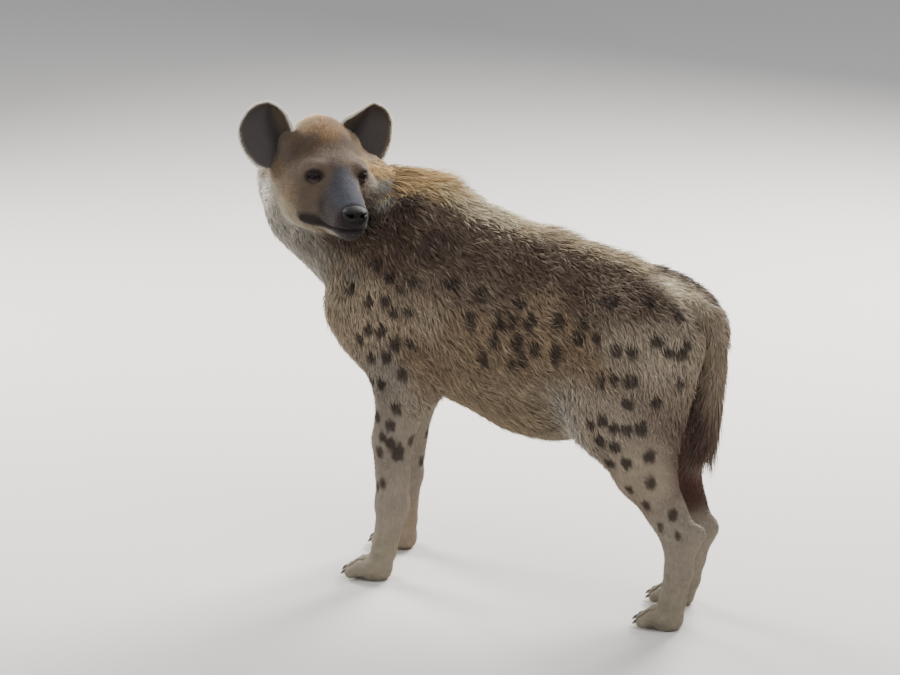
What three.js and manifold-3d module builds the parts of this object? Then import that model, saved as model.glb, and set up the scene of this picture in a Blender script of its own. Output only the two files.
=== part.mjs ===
// Spotted hyena, adult, life size, in millimetres: it stands on all four feet and looks back over its left shoulder.
// X runs forward along the trunk, Y to the animal's left and Z up. The soles stand at Z = 0.
// The outer face of every node is the face of the coat. One smooth field of named masses gives the whole body,
// and thin cuts part it into the pieces that a person would name.
import * as THREE from "three";
import { mergeVertices } from "three/addons/utils/BufferGeometryUtils.js";
import Module from "manifold-3d";

const wasm = await Module();
wasm.setup();

// Driving dimensions
const SHOULDER_HEIGHT = 785;
const CROUP_HEIGHT = 694;
const TRUNK_WIDTH = 300;
const HEAD_LENGTH = 302;
const EAR_HEIGHT = 104;
const PAW_WIDTH = 74;
const GAP = 0.3;
const MANE_LENGTH = 94;

// Posture
const HEAD_YAW = THREE.MathUtils.degToRad(141);
const HEAD_LIFT = THREE.MathUtils.degToRad(5);
const HEAD_ROLL = THREE.MathUtils.degToRad(-5.5);
const SKULL = point(315, 87, 795);

function point(x, y, z) {
  return new THREE.Vector3(x, y, z);
}

function mix(a, b, share) {
  return a + (b - a) * share;
}

function smoothStep(low, high, value) {
  const t = Math.min(1, Math.max(0, (value - low) / (high - low)));
  return t * t * (3 - 2 * t);
}

// Masses of the body

const HEAD_TURN = new THREE.Matrix4()
  .makeTranslation(SKULL.x, SKULL.y, SKULL.z)
  .multiply(new THREE.Matrix4().makeRotationZ(HEAD_YAW))
  .multiply(new THREE.Matrix4().makeRotationY(-HEAD_LIFT))
  .multiply(new THREE.Matrix4().makeRotationX(HEAD_ROLL));

// A place on the head: forward from the middle of the skull, to its left, and up.
function onHead(forward, left, up) {
  return point(forward, left, up).applyMatrix4(HEAD_TURN);
}

const HEAD_AXES = [0, 1, 2].map((i) => new THREE.Vector3().setFromMatrixColumn(HEAD_TURN, i));
const BODY_AXES = [point(1, 0, 0), point(0, 1, 0), point(0, 0, 1)];

// An ellipsoid of three radii along three axes.
function ball(centre, radii, blend, axes = BODY_AXES) {
  const [a, b, c] = axes;
  const [ra, rb, rc] = radii;
  const reach = Math.max(ra, rb, rc);
  return {
    blend,
    low: centre.clone().subScalar(reach),
    high: centre.clone().addScalar(reach),
    distance(x, y, z) {
      const px = x - centre.x;
      const py = y - centre.y;
      const pz = z - centre.z;
      const u = (px * a.x + py * a.y + pz * a.z) / ra;
      const v = (px * b.x + py * b.y + pz * b.z) / rb;
      const w = (px * c.x + py * c.y + pz * c.z) / rc;
      const k0 = Math.hypot(u, v, w);
      const k1 = Math.hypot(u / ra, v / rb, w / rc);
      return k1 < 1e-9 ? -Math.min(ra, rb, rc) : (k0 * (k0 - 1)) / k1;
    },
  };
}

// A limb that tapers from one round end to the other, flattened along the side axis.
function limb(from, to, radiusFrom, radiusTo, blend, flat = 1, side = BODY_AXES[1]) {
  const along = to.clone().sub(from);
  const lengthSquared = along.lengthSq();
  const reach = Math.max(radiusFrom, radiusTo);
  return {
    blend,
    low: from.clone().min(to).subScalar(reach),
    high: from.clone().max(to).addScalar(reach),
    distance(x, y, z) {
      const px = x - from.x;
      const py = y - from.y;
      const pz = z - from.z;
      const dot = (px * along.x + py * along.y + pz * along.z) / lengthSquared;
      const t = Math.min(1, Math.max(0, dot));
      let qx = px - along.x * t;
      let qy = py - along.y * t;
      let qz = pz - along.z * t;
      const out = (qx * side.x + qy * side.y + qz * side.z) * (1 / flat - 1);
      qx += side.x * out;
      qy += side.y * out;
      qz += side.z * out;
      return Math.hypot(qx, qy, qz) - mix(radiusFrom, radiusTo, t);
    },
  };
}

// The trunk's sections from chest to rump: place along X, height of back and belly, and half width.
const HALF = TRUNK_WIDTH / 2;
const TRUNK_SECTIONS = [
  [230, SHOULDER_HEIGHT - 38, 410, HALF * 0.66],
  [125, SHOULDER_HEIGHT - 5, 380, HALF * 0.88],
  [10, SHOULDER_HEIGHT - 30, 350, HALF * 0.99],
  [-80, SHOULDER_HEIGHT - 47, 320, HALF],
  [-170, SHOULDER_HEIGHT - 61, 316, HALF * 0.97],
  [-260, CROUP_HEIGHT + 14, 350, HALF * 0.9],
  [-340, CROUP_HEIGHT - 12, 425, HALF * 0.8],
  [-405, CROUP_HEIGHT - 58, 475, HALF * 0.56],
];

// The trunk as one lofted barrel: at each X its section is an ellipse between back and belly.
function barrel(sections, blend) {
  const curves = [1, 2, 3].map(
    (i) => new THREE.SplineCurve(sections.map((s) => new THREE.Vector2(s[0], s[i]))),
  );
  const first = sections[0][0];
  const last = sections.at(-1)[0];
  const steps = 80;
  const table = curves.map((curve) => curve.getPoints(sections.length * steps));
  const rows = table[0].length - 1;
  const value = (i, x) => {
    let low = 0;
    let high = rows;
    while (high - low > 1) {
      const middle = (low + high) >> 1;
      if (table[i][middle].x > x) low = middle;
      else high = middle;
    }
    const a = table[i][low];
    const b = table[i][high];
    return mix(a.y, b.y, (a.x - x) / (a.x - b.x || 1));
  };
  return {
    blend,
    low: point(last, -HALF, 300),
    high: point(first, HALF, SHOULDER_HEIGHT + 10),
    distance(x, y, z) {
      const at = Math.min(first, Math.max(last, x));
      const top = value(0, at);
      const bottom = value(1, at);
      const wide = value(2, at);
      const tall = (top - bottom) / 2;
      const round = (Math.hypot(y / wide, (z - (top + bottom) / 2) / tall) - 1) * Math.min(wide, tall);
      return x === at ? round : Math.hypot(Math.max(round, 0), x - at) + Math.min(round, 0);
    },
  };
}

const NECK_PATH = [
  { at: point(150, 0, 640), radius: 141, flat: 0.74 },
  { at: point(272, 6, 679), radius: 121, flat: 0.8 },
  { at: point(362, 18, 745), radius: 112, flat: 0.84 },
  { at: point(392, 32, 790), radius: 88, flat: 0.92 },
];

// Joints of the legs, at the animal's own left and right.
const FORELEGS = {
  left: {
    side: 1,
    blade: point(120, 66, 690),
    shoulder: point(222, 84, 545),
    elbow: point(120, 98, 428),
    forearm: point(150, 104, 292),
    wrist: point(148, 106, 162),
    knuckle: point(168, 107, 62),
    paw: point(191, 107, 0),
    pastern: 25,
    toeTurn: 0.06,
  },
  right: {
    side: -1,
    blade: point(130, -66, 690),
    shoulder: point(240, -84, 545),
    elbow: point(170, -92, 428),
    forearm: point(216, -86, 292),
    wrist: point(226, -80, 160),
    knuckle: point(229, -78, 62),
    paw: point(242, -76, 0),
    pastern: 25,
    toeTurn: -0.06,
  },
};
const HINDLEGS = {
  left: {
    side: 1,
    hip: point(-362, 72, 568),
    seat: point(-424, 62, 556),
    knee: point(-322, 92, 412),
    calf: point(-392, 88, 318),
    hock: point(-466, 76, 188),
    heel: point(-502, 76, 206),
    shin: point(-460, 70, 120),
    knuckle: point(-447, 66, 58),
    paw: point(-430, 64, 0),
    pastern: 26,
    toeTurn: 0.05,
  },
  right: {
    side: -1,
    hip: point(-356, -72, 564),
    seat: point(-418, -62, 552),
    knee: point(-298, -92, 398),
    calf: point(-362, -86, 290),
    hock: point(-428, -76, 154),
    heel: point(-456, -76, 166),
    shin: point(-420, -72, 98),
    knuckle: point(-412, -70, 54),
    paw: point(-390, -68, 0),
    pastern: 26,
    toeTurn: -0.05,
  },
};

const TOES = [-1.5, -0.5, 0.5, 1.5];

// One toe's knuckle and tip: four stand side by side, the middle two the longest.
function toeOf(leg, place, size) {
  const outer = Math.abs(place) > 1;
  const turn = leg.toeTurn + place * 0.11;
  const forward = point(Math.cos(turn), Math.sin(turn), 0);
  const across = place * PAW_WIDTH * 0.235 * size;
  const root = leg.paw.clone().add(point(outer ? 2 : 12, across, 27 * size));
  const knuckle = root.clone().addScaledVector(forward, 14 * size);
  const tip = root.clone().addScaledVector(forward, 34 * size);
  tip.z = 15 * size;
  return { root, knuckle, tip, forward };
}

function pawMasses(leg, size) {
  const heel = leg.paw.clone().add(point(-12, 0, 22 * size));
  const masses = [
    limb(leg.knuckle, heel, leg.pastern, leg.pastern - 1, 22, 0.98),
    ball(leg.paw.clone().add(point(2, 0, 22 * size)), [34 * size, (PAW_WIDTH / 2 - 3) * size, 27 * size], 16),
  ];
  for (const place of TOES) {
    const toe = toeOf(leg, place, size);
    masses.push(limb(toe.root, toe.knuckle, 15 * size, 13.5 * size, 7));
    masses.push(limb(toe.knuckle, toe.tip, 13.5 * size, 12 * size, 5));
  }
  return masses;
}

function forelegMasses(leg) {
  return [
    limb(leg.blade, leg.shoulder, 78, 76, 50, 0.62),
    limb(leg.shoulder, leg.elbow, 74, 66, 44, 0.62),
    ball(leg.elbow.clone().add(point(-34, 0, 6)), [30, 26, 34], 30),
    limb(leg.elbow, leg.forearm, 62, 42, 40, 0.72),
    limb(leg.forearm, leg.wrist, 42, 33, 30, 0.84),
    ball(leg.wrist.clone().add(point(2, 0, 0)), [34, 32, 40], 22),
    limb(leg.wrist, leg.knuckle, 32, 25, 24, 0.95),
    ...pawMasses(leg, 1),
  ];
}

function hindlegMasses(leg) {
  return [
    limb(leg.hip, leg.knee, 88, 72, 60, 0.7),
    limb(leg.seat, leg.calf, 72, 54, 44, 0.68),
    ball(leg.knee.clone().add(point(14, 0, 0)), [52, 44, 62], 40),
    limb(leg.knee, leg.calf, 66, 56, 40, 0.68),
    limb(leg.calf, leg.hock, 55, 36, 30, 0.72),
    limb(leg.heel, leg.hock, 17, 30, 22, 0.8),
    limb(leg.hock, leg.shin, 36, 28, 24, 0.8),
    limb(leg.shin, leg.knuckle, 28, 26, 20, 0.92),
    ...pawMasses(leg, 0.93),
  ];
}

// The head, in its own axes: forward, to its left and up from the middle of the skull.
const NOSE_AT = HEAD_LENGTH * 0.7;
const EYE_RADIUS = 14.5;
const NOSE_PAD = { at: [NOSE_AT - 13, 0, -42], radii: [17, 21, 15] };

function eyeAt(side) {
  return { centre: [85, side * 43, 14], facing: [0.8, side * 0.56, 0.12] };
}

function onEachSide(make) {
  return [1, -1].map(make);
}

function headMasses() {
  const round = (f, l, u, radii, blend) => ball(onHead(f, l, u), radii, blend, HEAD_AXES);
  const bone = (a, b, ra, rb, blend, flat) =>
    limb(onHead(...a), onHead(...b), ra, rb, blend, flat, HEAD_AXES[1]);
  return [
    round(-10, 0, 14, [84, 76, 78], 40),
    round(-30, 0, 66, [64, 55, 57], 30),
    round(62, 0, 26, [44, 56, 34], 26),
    bone([84, 0, 2], [NOSE_AT - 38, 0, -45], 41, 31, 26, 0.98),
    bone([104, 0, -34], [NOSE_AT - 40, 0, -56], 37, 27, 20, 1.12),
    bone([20, 0, -56], [NOSE_AT - 38, 0, -78], 44, 17, 22, 1.08),
    ...onEachSide((s) => round(30, s * 54, -22, [60, 38, 52], 30)),
    ...onEachSide((s) => bone([-40, s * 52, -36], [64, s * 38, -60], 46, 30, 30, 0.9)),
    ...onEachSide((s) => round(-48, s * 66, -24, [36, 30, 62], 26)),
    ...onEachSide((s) => bone([66, s * 52, 28], [94, s * 38, 32], 15, 12, 16, 1)),
    ...onEachSide((s) => bone([-34, s * 50, 50], [-30, s * 74, 70], 30, 24, 20, 1)),
  ];
}

function neckMasses() {
  return NECK_PATH.slice(1).map((to, i) => {
    const from = NECK_PATH[i];
    const flat = (from.flat + to.flat) / 2;
    return limb(from.at, to.at, from.radius, to.radius, 60, flat);
  });
}

const BODY = [
  barrel(TRUNK_SECTIONS, 0),
  ball(point(205, 0, 545), [104, 104, 158], 60),
  ball(point(-372, 0, 562), [88, 88, 92], 50),
  ...neckMasses(),
  ...headMasses(),
  ...Object.values(FORELEGS).flatMap(forelegMasses),
  ...Object.values(HINDLEGS).flatMap(hindlegMasses),
];

// How far a point lies outside a group of masses: each joins what is there through a smooth minimum.
function fieldOf(masses) {
  return (x, y, z) => {
    let d = 1e3;
    for (const mass of masses) {
      const room = mass.blend + 40;
      const { low, high } = mass;
      if (x < low.x - room || y < low.y - room || z < low.z - room) continue;
      if (x > high.x + room || y > high.y + room || z > high.z + room) continue;
      const next = mass.distance(x, y, z);
      const share = mass.blend ? Math.max(mass.blend - Math.abs(d - next), 0) / mass.blend : 0;
      d = Math.min(d, next) - (share * share * mass.blend) / 4;
    }
    return d;
  };
}

const bodyDistance = fieldOf(BODY);
const faceDistance = fieldOf(headMasses());
const backDistance = fieldOf([...BODY.slice(0, 3), ...neckMasses()]);

function outwards(p, distance = bodyDistance) {
  const e = 0.5;
  return point(
    distance(p.x + e, p.y, p.z) - distance(p.x - e, p.y, p.z),
    distance(p.x, p.y + e, p.z) - distance(p.x, p.y - e, p.z),
    distance(p.x, p.y, p.z + e) - distance(p.x, p.y, p.z - e),
  ).normalize();
}

// Meshes and solids

// Corners, edges and faces of one grid cell
const CELL_CORNERS = [0, 1].flatMap((a) => [0, 1].flatMap((b) => [0, 1].map((c) => [a, b, c])));
const cornerNumber = ([a, b, c]) => a * 4 + b * 2 + c;
const CELL_EDGES = CELL_CORNERS.flatMap((corner, from) =>
  [0, 1, 2]
    .filter((axis) => corner[axis] === 0)
    .map((axis) => [from, cornerNumber(corner.map((v, n) => v + (n === axis ? 1 : 0)))]),
);
const edgeNumber = (a, b) => CELL_EDGES.findIndex(([p, q]) => p === Math.min(a, b) && q === Math.max(a, b));
const CELL_FACES = [0, 1, 2].flatMap((axis) =>
  [0, 1].map((level) => {
    const others = [0, 1, 2].filter((n) => n !== axis);
    return [[0, 0], [1, 0], [1, 1], [0, 1]].map(([p, q]) => {
      const corner = [level, level, level];
      corner[others[0]] = p;
      corner[others[1]] = q;
      return cornerNumber(corner);
    });
  }),
);
const FACE_EDGES = CELL_FACES.map((face) => face.map((corner, n) => edgeNumber(corner, face[(n + 1) % 4])));

// The crossed edges of a cell, in groups that belong to one sheet of the surface each.
function sheetsOf(values) {
  const crossed = CELL_EDGES.map(([a, b]) => values[a] < 0 !== values[b] < 0);
  const sheet = CELL_EDGES.map((edge, n) => n);
  const link = (a, b) => {
    const [keep, drop] = [sheet[a], sheet[b]];
    sheet.forEach((value, n) => {
      if (value === drop) sheet[n] = keep;
    });
  };
  CELL_FACES.forEach((face, f) => {
    const edges = FACE_EDGES[f];
    const cut = edges.filter((edge) => crossed[edge]);
    if (cut.length === 2) link(cut[0], cut[1]);
    if (cut.length === 4)
      face.forEach((corner, n) => {
        if (values[corner] < 0) link(edges[(n + 3) % 4], edges[n]);
      });
  });
  const groups = new Map();
  sheet.forEach((value, edge) => {
    if (!crossed[edge]) return;
    if (!groups.has(value)) groups.set(value, []);
    groups.get(value).push(edge);
  });
  return [...groups.values()];
}

// The field's zero face inside a box: one corner for each sheet of the surface in each cell that it crosses.
function surfaceNet(distance, low, high, cell) {
  const count = [0, 1, 2].map((i) => Math.ceil((high.getComponent(i) - low.getComponent(i)) / cell[i]) + 1);
  const [nx, ny, nz] = count;
  const at = (i, j, k) => (i * ny + j) * nz + k;
  const values = new Float64Array(nx * ny * nz);
  const place = (i, j, k) => point(low.x + i * cell[0], low.y + j * cell[1], low.z + k * cell[2]);
  for (let i = 0; i < nx; i++)
    for (let j = 0; j < ny; j++)
      for (let k = 0; k < nz; k++) {
        const edge = i === 0 || j === 0 || k === 0 || i === nx - 1 || j === ny - 1 || k === nz - 1;
        const p = place(i, j, k);
        const d = distance(p.x, p.y, p.z);
        values[at(i, j, k)] = edge ? Math.max(d, 0.01) : d;
      }
  const numbers = new Map();
  const positions = [];
  for (let i = 0; i < nx - 1; i++)
    for (let j = 0; j < ny - 1; j++)
      for (let k = 0; k < nz - 1; k++) {
        const v = CELL_CORNERS.map(([a, b, c]) => values[at(i + a, j + b, k + c)]);
        if (v.every((value) => value < 0) || v.every((value) => value >= 0)) continue;
        const inside = i > 0 && j > 0 && k > 0 && i < nx - 2 && j < ny - 2 && k < nz - 2;
        for (const sheet of sheetsOf(v)) {
          const middle = point(0, 0, 0);
          for (const edge of sheet) {
            const [a, b] = CELL_EDGES[edge];
            const [p, q] = [a, b].map((n) => {
              const [u, w, h] = CELL_CORNERS[n];
              return place(i + u, j + w, k + h);
            });
            middle.add(p.lerp(q, v[a] / (v[a] - v[b])));
            numbers.set(at(i, j, k) * 12 + edge, positions.length / 3);
          }
          middle.divideScalar(sheet.length);
          if (inside) {
            const step = distance(middle.x, middle.y, middle.z);
            const reach = 0.3 * Math.min(...cell);
            middle.addScaledVector(outwards(middle, distance), -Math.max(-reach, Math.min(reach, step)));
          }
          positions.push(middle.x, middle.y, middle.z);
        }
      }
  const index = [];
  const rounds = [
    [[0, -1, -1], [0, 0, -1], [0, 0, 0], [0, -1, 0]],
    [[-1, 0, -1], [-1, 0, 0], [0, 0, 0], [0, 0, -1]],
    [[-1, -1, 0], [0, -1, 0], [0, 0, 0], [-1, 0, 0]],
  ];
  const quad = (axis, i, j, k, flip) => {
    const q = rounds[axis].map(([a, b, c]) => {
      const from = [-a, -b, -c];
      const to = from.map((value, n) => value + (n === axis ? 1 : 0));
      return numbers.get(at(i + a, j + b, k + c) * 12 + edgeNumber(cornerNumber(from), cornerNumber(to)));
    });
    if (flip) q.reverse();
    const p = q.map((n) => point(...positions.slice(3 * n, 3 * n + 3)));
    if (p[0].distanceTo(p[2]) < p[1].distanceTo(p[3])) index.push(q[0], q[1], q[2], q[0], q[2], q[3]);
    else index.push(q[0], q[1], q[3], q[1], q[2], q[3]);
  };
  for (let i = 0; i < nx - 1; i++)
    for (let j = 0; j < ny - 1; j++)
      for (let k = 0; k < nz - 1; k++) {
        const here = values[at(i, j, k)] < 0;
        if (here !== values[at(i + 1, j, k)] < 0) quad(0, i, j, k, !here);
        if (here !== values[at(i, j + 1, k)] < 0) quad(1, i, j, k, !here);
        if (here !== values[at(i, j, k + 1)] < 0) quad(2, i, j, k, !here);
      }
  return new THREE.BufferGeometry()
    .setAttribute("position", new THREE.Float32BufferAttribute(positions, 3))
    .setIndex(index);
}

function solid(geometry) {
  const bare = geometry.clone();
  bare.deleteAttribute("normal");
  bare.deleteAttribute("uv");
  const merged = mergeVertices(bare, 1e-4);
  return new wasm.Manifold(
    new wasm.Mesh({
      numProp: 3,
      vertProperties: new Float32Array(merged.attributes.position.array),
      triVerts: new Uint32Array(merged.index.array),
    }),
  );
}

function geometryOf(made) {
  const mesh = made.getMesh();
  return new THREE.BufferGeometry()
    .setAttribute("position", new THREE.BufferAttribute(new Float32Array(mesh.vertProperties), 3))
    .setIndex(new THREE.BufferAttribute(new Uint32Array(mesh.triVerts), 1));
}

function largest(made) {
  return made.decompose().sort((a, b) => b.volume() - a.volume())[0];
}

const node = (low, high, cell) => solid(surfaceNet(bodyDistance, low, high, cell));

// A copy that is larger by a little all over, each corner moved out along its normal.
function swollen(made, amount) {
  const geometry = geometryOf(made);
  geometry.computeVertexNormals();
  const { position, normal } = geometry.attributes;
  for (let i = 0; i < position.count; i++) {
    const p = new THREE.Vector3().fromBufferAttribute(position, i);
    p.addScaledVector(new THREE.Vector3().fromBufferAttribute(normal, i), amount);
    position.setXYZ(i, p.x, p.y, p.z);
  }
  return solid(geometry);
}

// A block that starts at a plane and reaches beyond it, as wide to each side as given.
function block({ place, normal, along, deep, halfLong, halfWide }, grow) {
  const made = new THREE.BoxGeometry(2 * halfLong + 2 * grow, 2 * halfWide + 2 * grow, deep + 2 * grow);
  made.translate(0, 0, deep / 2);
  const side = normal.clone().cross(along).normalize();
  const ahead = side.clone().cross(normal);
  made.applyMatrix4(new THREE.Matrix4().makeBasis(ahead, side, normal));
  return solid(made.translate(place.x, place.y, place.z));
}

function cutAt(place, normal, deep, halfLong, halfWide, along = point(1, 0, 0)) {
  return { place, normal: normal.normalize(), along, deep, halfLong, halfWide };
}

const within = (cut) => block(cut, -GAP / 2);
const beyond = (cut) => block(cut, GAP / 2);

const NECK_CUT = cutAt(point(232, 0, 672), point(0.8, 0, 0.6), 420, 330, 300, point(0.6, 0, -0.8));
const HEAD_CUT = cutAt(onHead(-64, 0, 24), HEAD_AXES[0].clone(), 340, 128, 112, HEAD_AXES[2]);

const LEG_CUTS = {
  foreleg_left: [
    cutAt(point(150, 100, 385), point(0.25, 0, -1), 420, 128, 84),
    cutAt(point(155, 104, 178), point(0.05, 0, -1), 220, 90, 84),
    cutAt(point(179, 107, 52), point(0.2, 0, -1), 90, 110, 84),
  ],
  foreleg_right: [
    cutAt(point(186, -90, 385), point(0.25, 0, -1), 420, 128, 84),
    cutAt(point(222, -84, 178), point(0.05, 0, -1), 220, 90, 74),
    cutAt(point(232, -78, 52), point(0.2, 0, -1), 90, 110, 74),
  ],
  hindleg_left: [
    cutAt(point(-378, 88, 398), point(-0.35, 0, -1), 430, 134, 86),
    cutAt(point(-468, 76, 176), point(0.3, 0, -1), 240, 90, 68),
    cutAt(point(-446, 66, 50), point(0.2, 0, -1), 90, 110, 62),
  ],
  hindleg_right: [
    cutAt(point(-352, -88, 390), point(-0.35, 0, -1), 430, 134, 86),
    cutAt(point(-430, -76, 150), point(0.3, 0, -1), 200, 90, 68),
    cutAt(point(-404, -70, 48), point(0.2, 0, -1), 90, 110, 62),
  ],
};
const FLOOR = cutAt(point(0, 0, 0), point(0, 0, -1), 200, 900, 900);

// Colours of the coat and of the bare parts
const COLOURS = {
  torso: 0x8f7f6c,
  neck: 0xa8906c,
  head: 0x8c7a66,
  ear: 0x5c5450,
  leg: 0x9a8d7c,
  paw: 0xb3a898,
  tail: 0x4c3a2c,
  nose: 0x16130f,
  eye: 0x120b07,
  claw: 0x2a2420,
};

const pieces = [];

function add(name, made, colour, roughness = 0.9) {
  pieces.push({ name, made: largest(made), colour, roughness });
}

// A tube through a list of places, each with its two half widths and the way of the first; its ends close to a point.
function tube(stations, sides, wide) {
  const positions = [];
  const index = [];
  stations.forEach(({ at, across, thick, size }, i) => {
    const next = stations[Math.min(i + 1, stations.length - 1)].at;
    const last = stations[Math.max(i - 1, 0)].at;
    const along = next.clone().sub(last).normalize();
    const side = (wide ?? across).clone().addScaledVector(along, -along.dot(wide ?? across)).normalize();
    const up = along.clone().cross(side);
    for (let n = 0; n < sides; n++) {
      const a = (n / sides) * 2 * Math.PI;
      const p = at.clone().addScaledVector(side, Math.cos(a) * size).addScaledVector(up, Math.sin(a) * thick);
      positions.push(p.x, p.y, p.z);
    }
  });
  const rows = stations.length;
  for (let i = 0; i < rows - 1; i++)
    for (let n = 0; n < sides; n++) {
      const a = i * sides + n;
      const b = i * sides + ((n + 1) % sides);
      index.push(a, b, b + sides, a, b + sides, a + sides);
    }
  for (const [end, flip] of [[0, true], [rows - 1, false]]) {
    const tip = positions.length / 3;
    const { at } = stations[end];
    positions.push(at.x, at.y, at.z);
    for (let n = 0; n < sides; n++) {
      const a = end * sides + n;
      const b = end * sides + ((n + 1) % sides);
      if (flip) index.push(tip, b, a);
      else index.push(tip, a, b);
    }
  }
  const made = new THREE.BufferGeometry()
    .setAttribute("position", new THREE.Float32BufferAttribute(positions, 3))
    .setIndex(index);
  return solid(made);
}

// A claw: a short hook that grows forward and down from the end of its toe.
function clawOf(toe, size, grow) {
  const side = point(-toe.forward.y, toe.forward.x, 0);
  const spine = [
    [2, 3, 5.2],
    [11, 3, 4.6],
    [20, -4, 1.6],
  ];
  const stations = spine.map(([ahead, up, radius], i) => {
    const at = toe.tip.clone().addScaledVector(toe.forward, ahead * size + (i === 0 ? -grow : 0));
    at.z += up * size;
    const wide = radius * size + grow;
    return { at, size: wide * 0.8, thick: wide };
  });
  return tube(stations, 5, side);
}

const FLOOR_BLOCK = block(FLOOR, 0);

// Legs, each in three pieces, with four claws to a paw
const legBlocks = [];
for (const [legs, kind] of [[FORELEGS, "foreleg"], [HINDLEGS, "hindleg"]]) {
  for (const [sideName, leg] of Object.entries(legs)) {
    const name = `${kind}_${sideName}`;
    const [top, middle, low] = LEG_CUTS[name];
    const size = kind === "foreleg" ? 1 : 0.93;
    const away = (cut, x0, y0, z0, x1, y1, z1) => [
      cut.place.clone().add(point(x0, y0, z0)),
      cut.place.clone().add(point(x1, y1, z1)),
    ];
    legBlocks.push(beyond(top));
    const upper = node(...away(top, -150, -88, -256, 130, 88, 60), [24, 21, 32]);
    add(`${name}_upper`, upper.intersect(within(top)).subtract(beyond(middle)), COLOURS.leg);
    const lower = node(...away(middle, -76, -70, -170, 96, 70, 40), [18, 17, 28]);
    add(`${name}_lower`, lower.intersect(within(middle)).subtract(beyond(low)), COLOURS.leg);
    const pad = node(
      leg.paw.clone().add(point(-62, -58, -16)),
      leg.paw.clone().add(point(84, 58, 92)),
      [16, 10, 15],
    );
    let paw = pad.intersect(within(low)).subtract(FLOOR_BLOCK);
    TOES.forEach((place, i) => {
      const toe = toeOf(leg, place, size);
      paw = paw.subtract(clawOf(toe, size, GAP));
      add(`claw_${name}_${i + 1}`, clawOf(toe, size, 0), COLOURS.claw, 0.4);
    });
    add(`${name}_paw`, paw, COLOURS.paw);
  }
}

// Mane and tail locks

let seed = 20417;
function random() {
  seed = (seed * 1664525 + 1013904223) % 4294967296;
  return seed / 4294967296;
}

const spread = (amount) => (random() * 2 - 1) * amount;

// A flat lock: it leaves the coat from a sunk root, bends over into the lie and tapers to its tip.
function lock(root, out, lie, length, width, lift) {
  const side = out.clone().cross(lie).normalize();
  const flow = side.clone().cross(out).normalize();
  const profile = [
    [-0.2, 0.85],
    [0.2, 1],
    [0.62, 0.72],
    [1, 0.12],
  ];
  const sway = spread(0.16);
  const stations = profile.map(([t, share]) => {
    const along = Math.max(t, 0);
    const rise = t < 0 ? t : lift * (along - 0.42 * along * along);
    const at = root
      .clone()
      .addScaledVector(flow, length * along * (1 - 0.25 * lift * (1 - along)) + Math.min(t, 0) * length * 0.3)
      .addScaledVector(out, length * rise)
      .addScaledVector(side, sway * length * along * along);
    return { at, size: (width / 2) * share, thick: width * 0.26 * share };
  });
  return tube(stations, 3, side);
}

function joined(parts) {
  return wasm.Manifold.union(parts);
}

// Whether a place lies inside a block, or within a margin of it.
function inside(cut, place, margin) {
  const from = place.clone().sub(cut.place);
  const side = cut.normal.clone().cross(cut.along).normalize();
  const ahead = side.clone().cross(cut.normal);
  const deep = from.dot(cut.normal);
  const wide = Math.abs(from.dot(side)) < cut.halfWide + margin && Math.abs(from.dot(ahead)) < cut.halfLong + margin;
  return wide && deep > -margin && deep < cut.deep + margin;
}

// The top line of neck and back, found by falling onto them from above.
function crestAt(x, aside, yAt) {
  let z = 1000;
  for (let i = 0; i < 200; i++) {
    const d = backDistance(x, yAt + aside, z);
    if (d < 0.2) break;
    z -= Math.max(Math.min(d * 0.9, 20), 0.2);
  }
  return point(x, yAt + aside, z);
}

const MANE = { from: 392, to: -310, rows: 18, columns: [-40, -13, 13, 40] };

// The mane: rows of locks from the crown to the loins, longest over the shoulders.
function maneLocks() {
  const locks = [];
  for (let row = 0; row < MANE.rows; row++) {
    const share = row / (MANE.rows - 1);
    const x = mix(MANE.from, MANE.to, share) + spread(5);
    const middle = 26 * smoothStep(240, 380, x);
    const full = 1 - 0.5 * smoothStep(0.4, 1, share) - 0.3 * (1 - smoothStep(0, 0.2, share));
    for (const column of row < 3 ? MANE.columns.slice(1, 3) : MANE.columns) {
      const aside = column * mix(1, 0.7, share) + (row % 2) * 14 - 7 + spread(4);
      const root = crestAt(x + spread(6), aside, middle);
      if (inside(HEAD_CUT, root, 12)) continue;
      const lie = point(-1, (0.4 * aside) / 42, -0.1);
      const lift = 0.5 * (1 - (0.35 * Math.abs(aside)) / 42) + spread(0.08);
      const length = MANE_LENGTH * full * (1 + spread(0.14));
      locks.push(lock(root, outwards(root, backDistance), lie, length, 33 * mix(1, 0.8, share), lift));
    }
  }
  return joined(locks);
}

// Tail: a tapered core that hangs from the rump, and locks over its lower half.
const TAIL_PATH = [
  { at: point(-440, 0, 622), radius: 26 },
  { at: point(-478, 0, 600), radius: 24 },
  { at: point(-494, 0, 555), radius: 20 },
  { at: point(-492, 0, 500), radius: 18 },
  { at: point(-484, 0, 440), radius: 15 },
  { at: point(-476, 0, 400), radius: 9 },
];
const tailMasses = TAIL_PATH.slice(1).map((to, i) =>
  limb(TAIL_PATH[i].at, to.at, TAIL_PATH[i].radius, to.radius, 12),
);

function tailDistance(x, y, z) {
  return Math.min(...tailMasses.map((mass) => mass.distance(x, y, z)));
}

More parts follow.
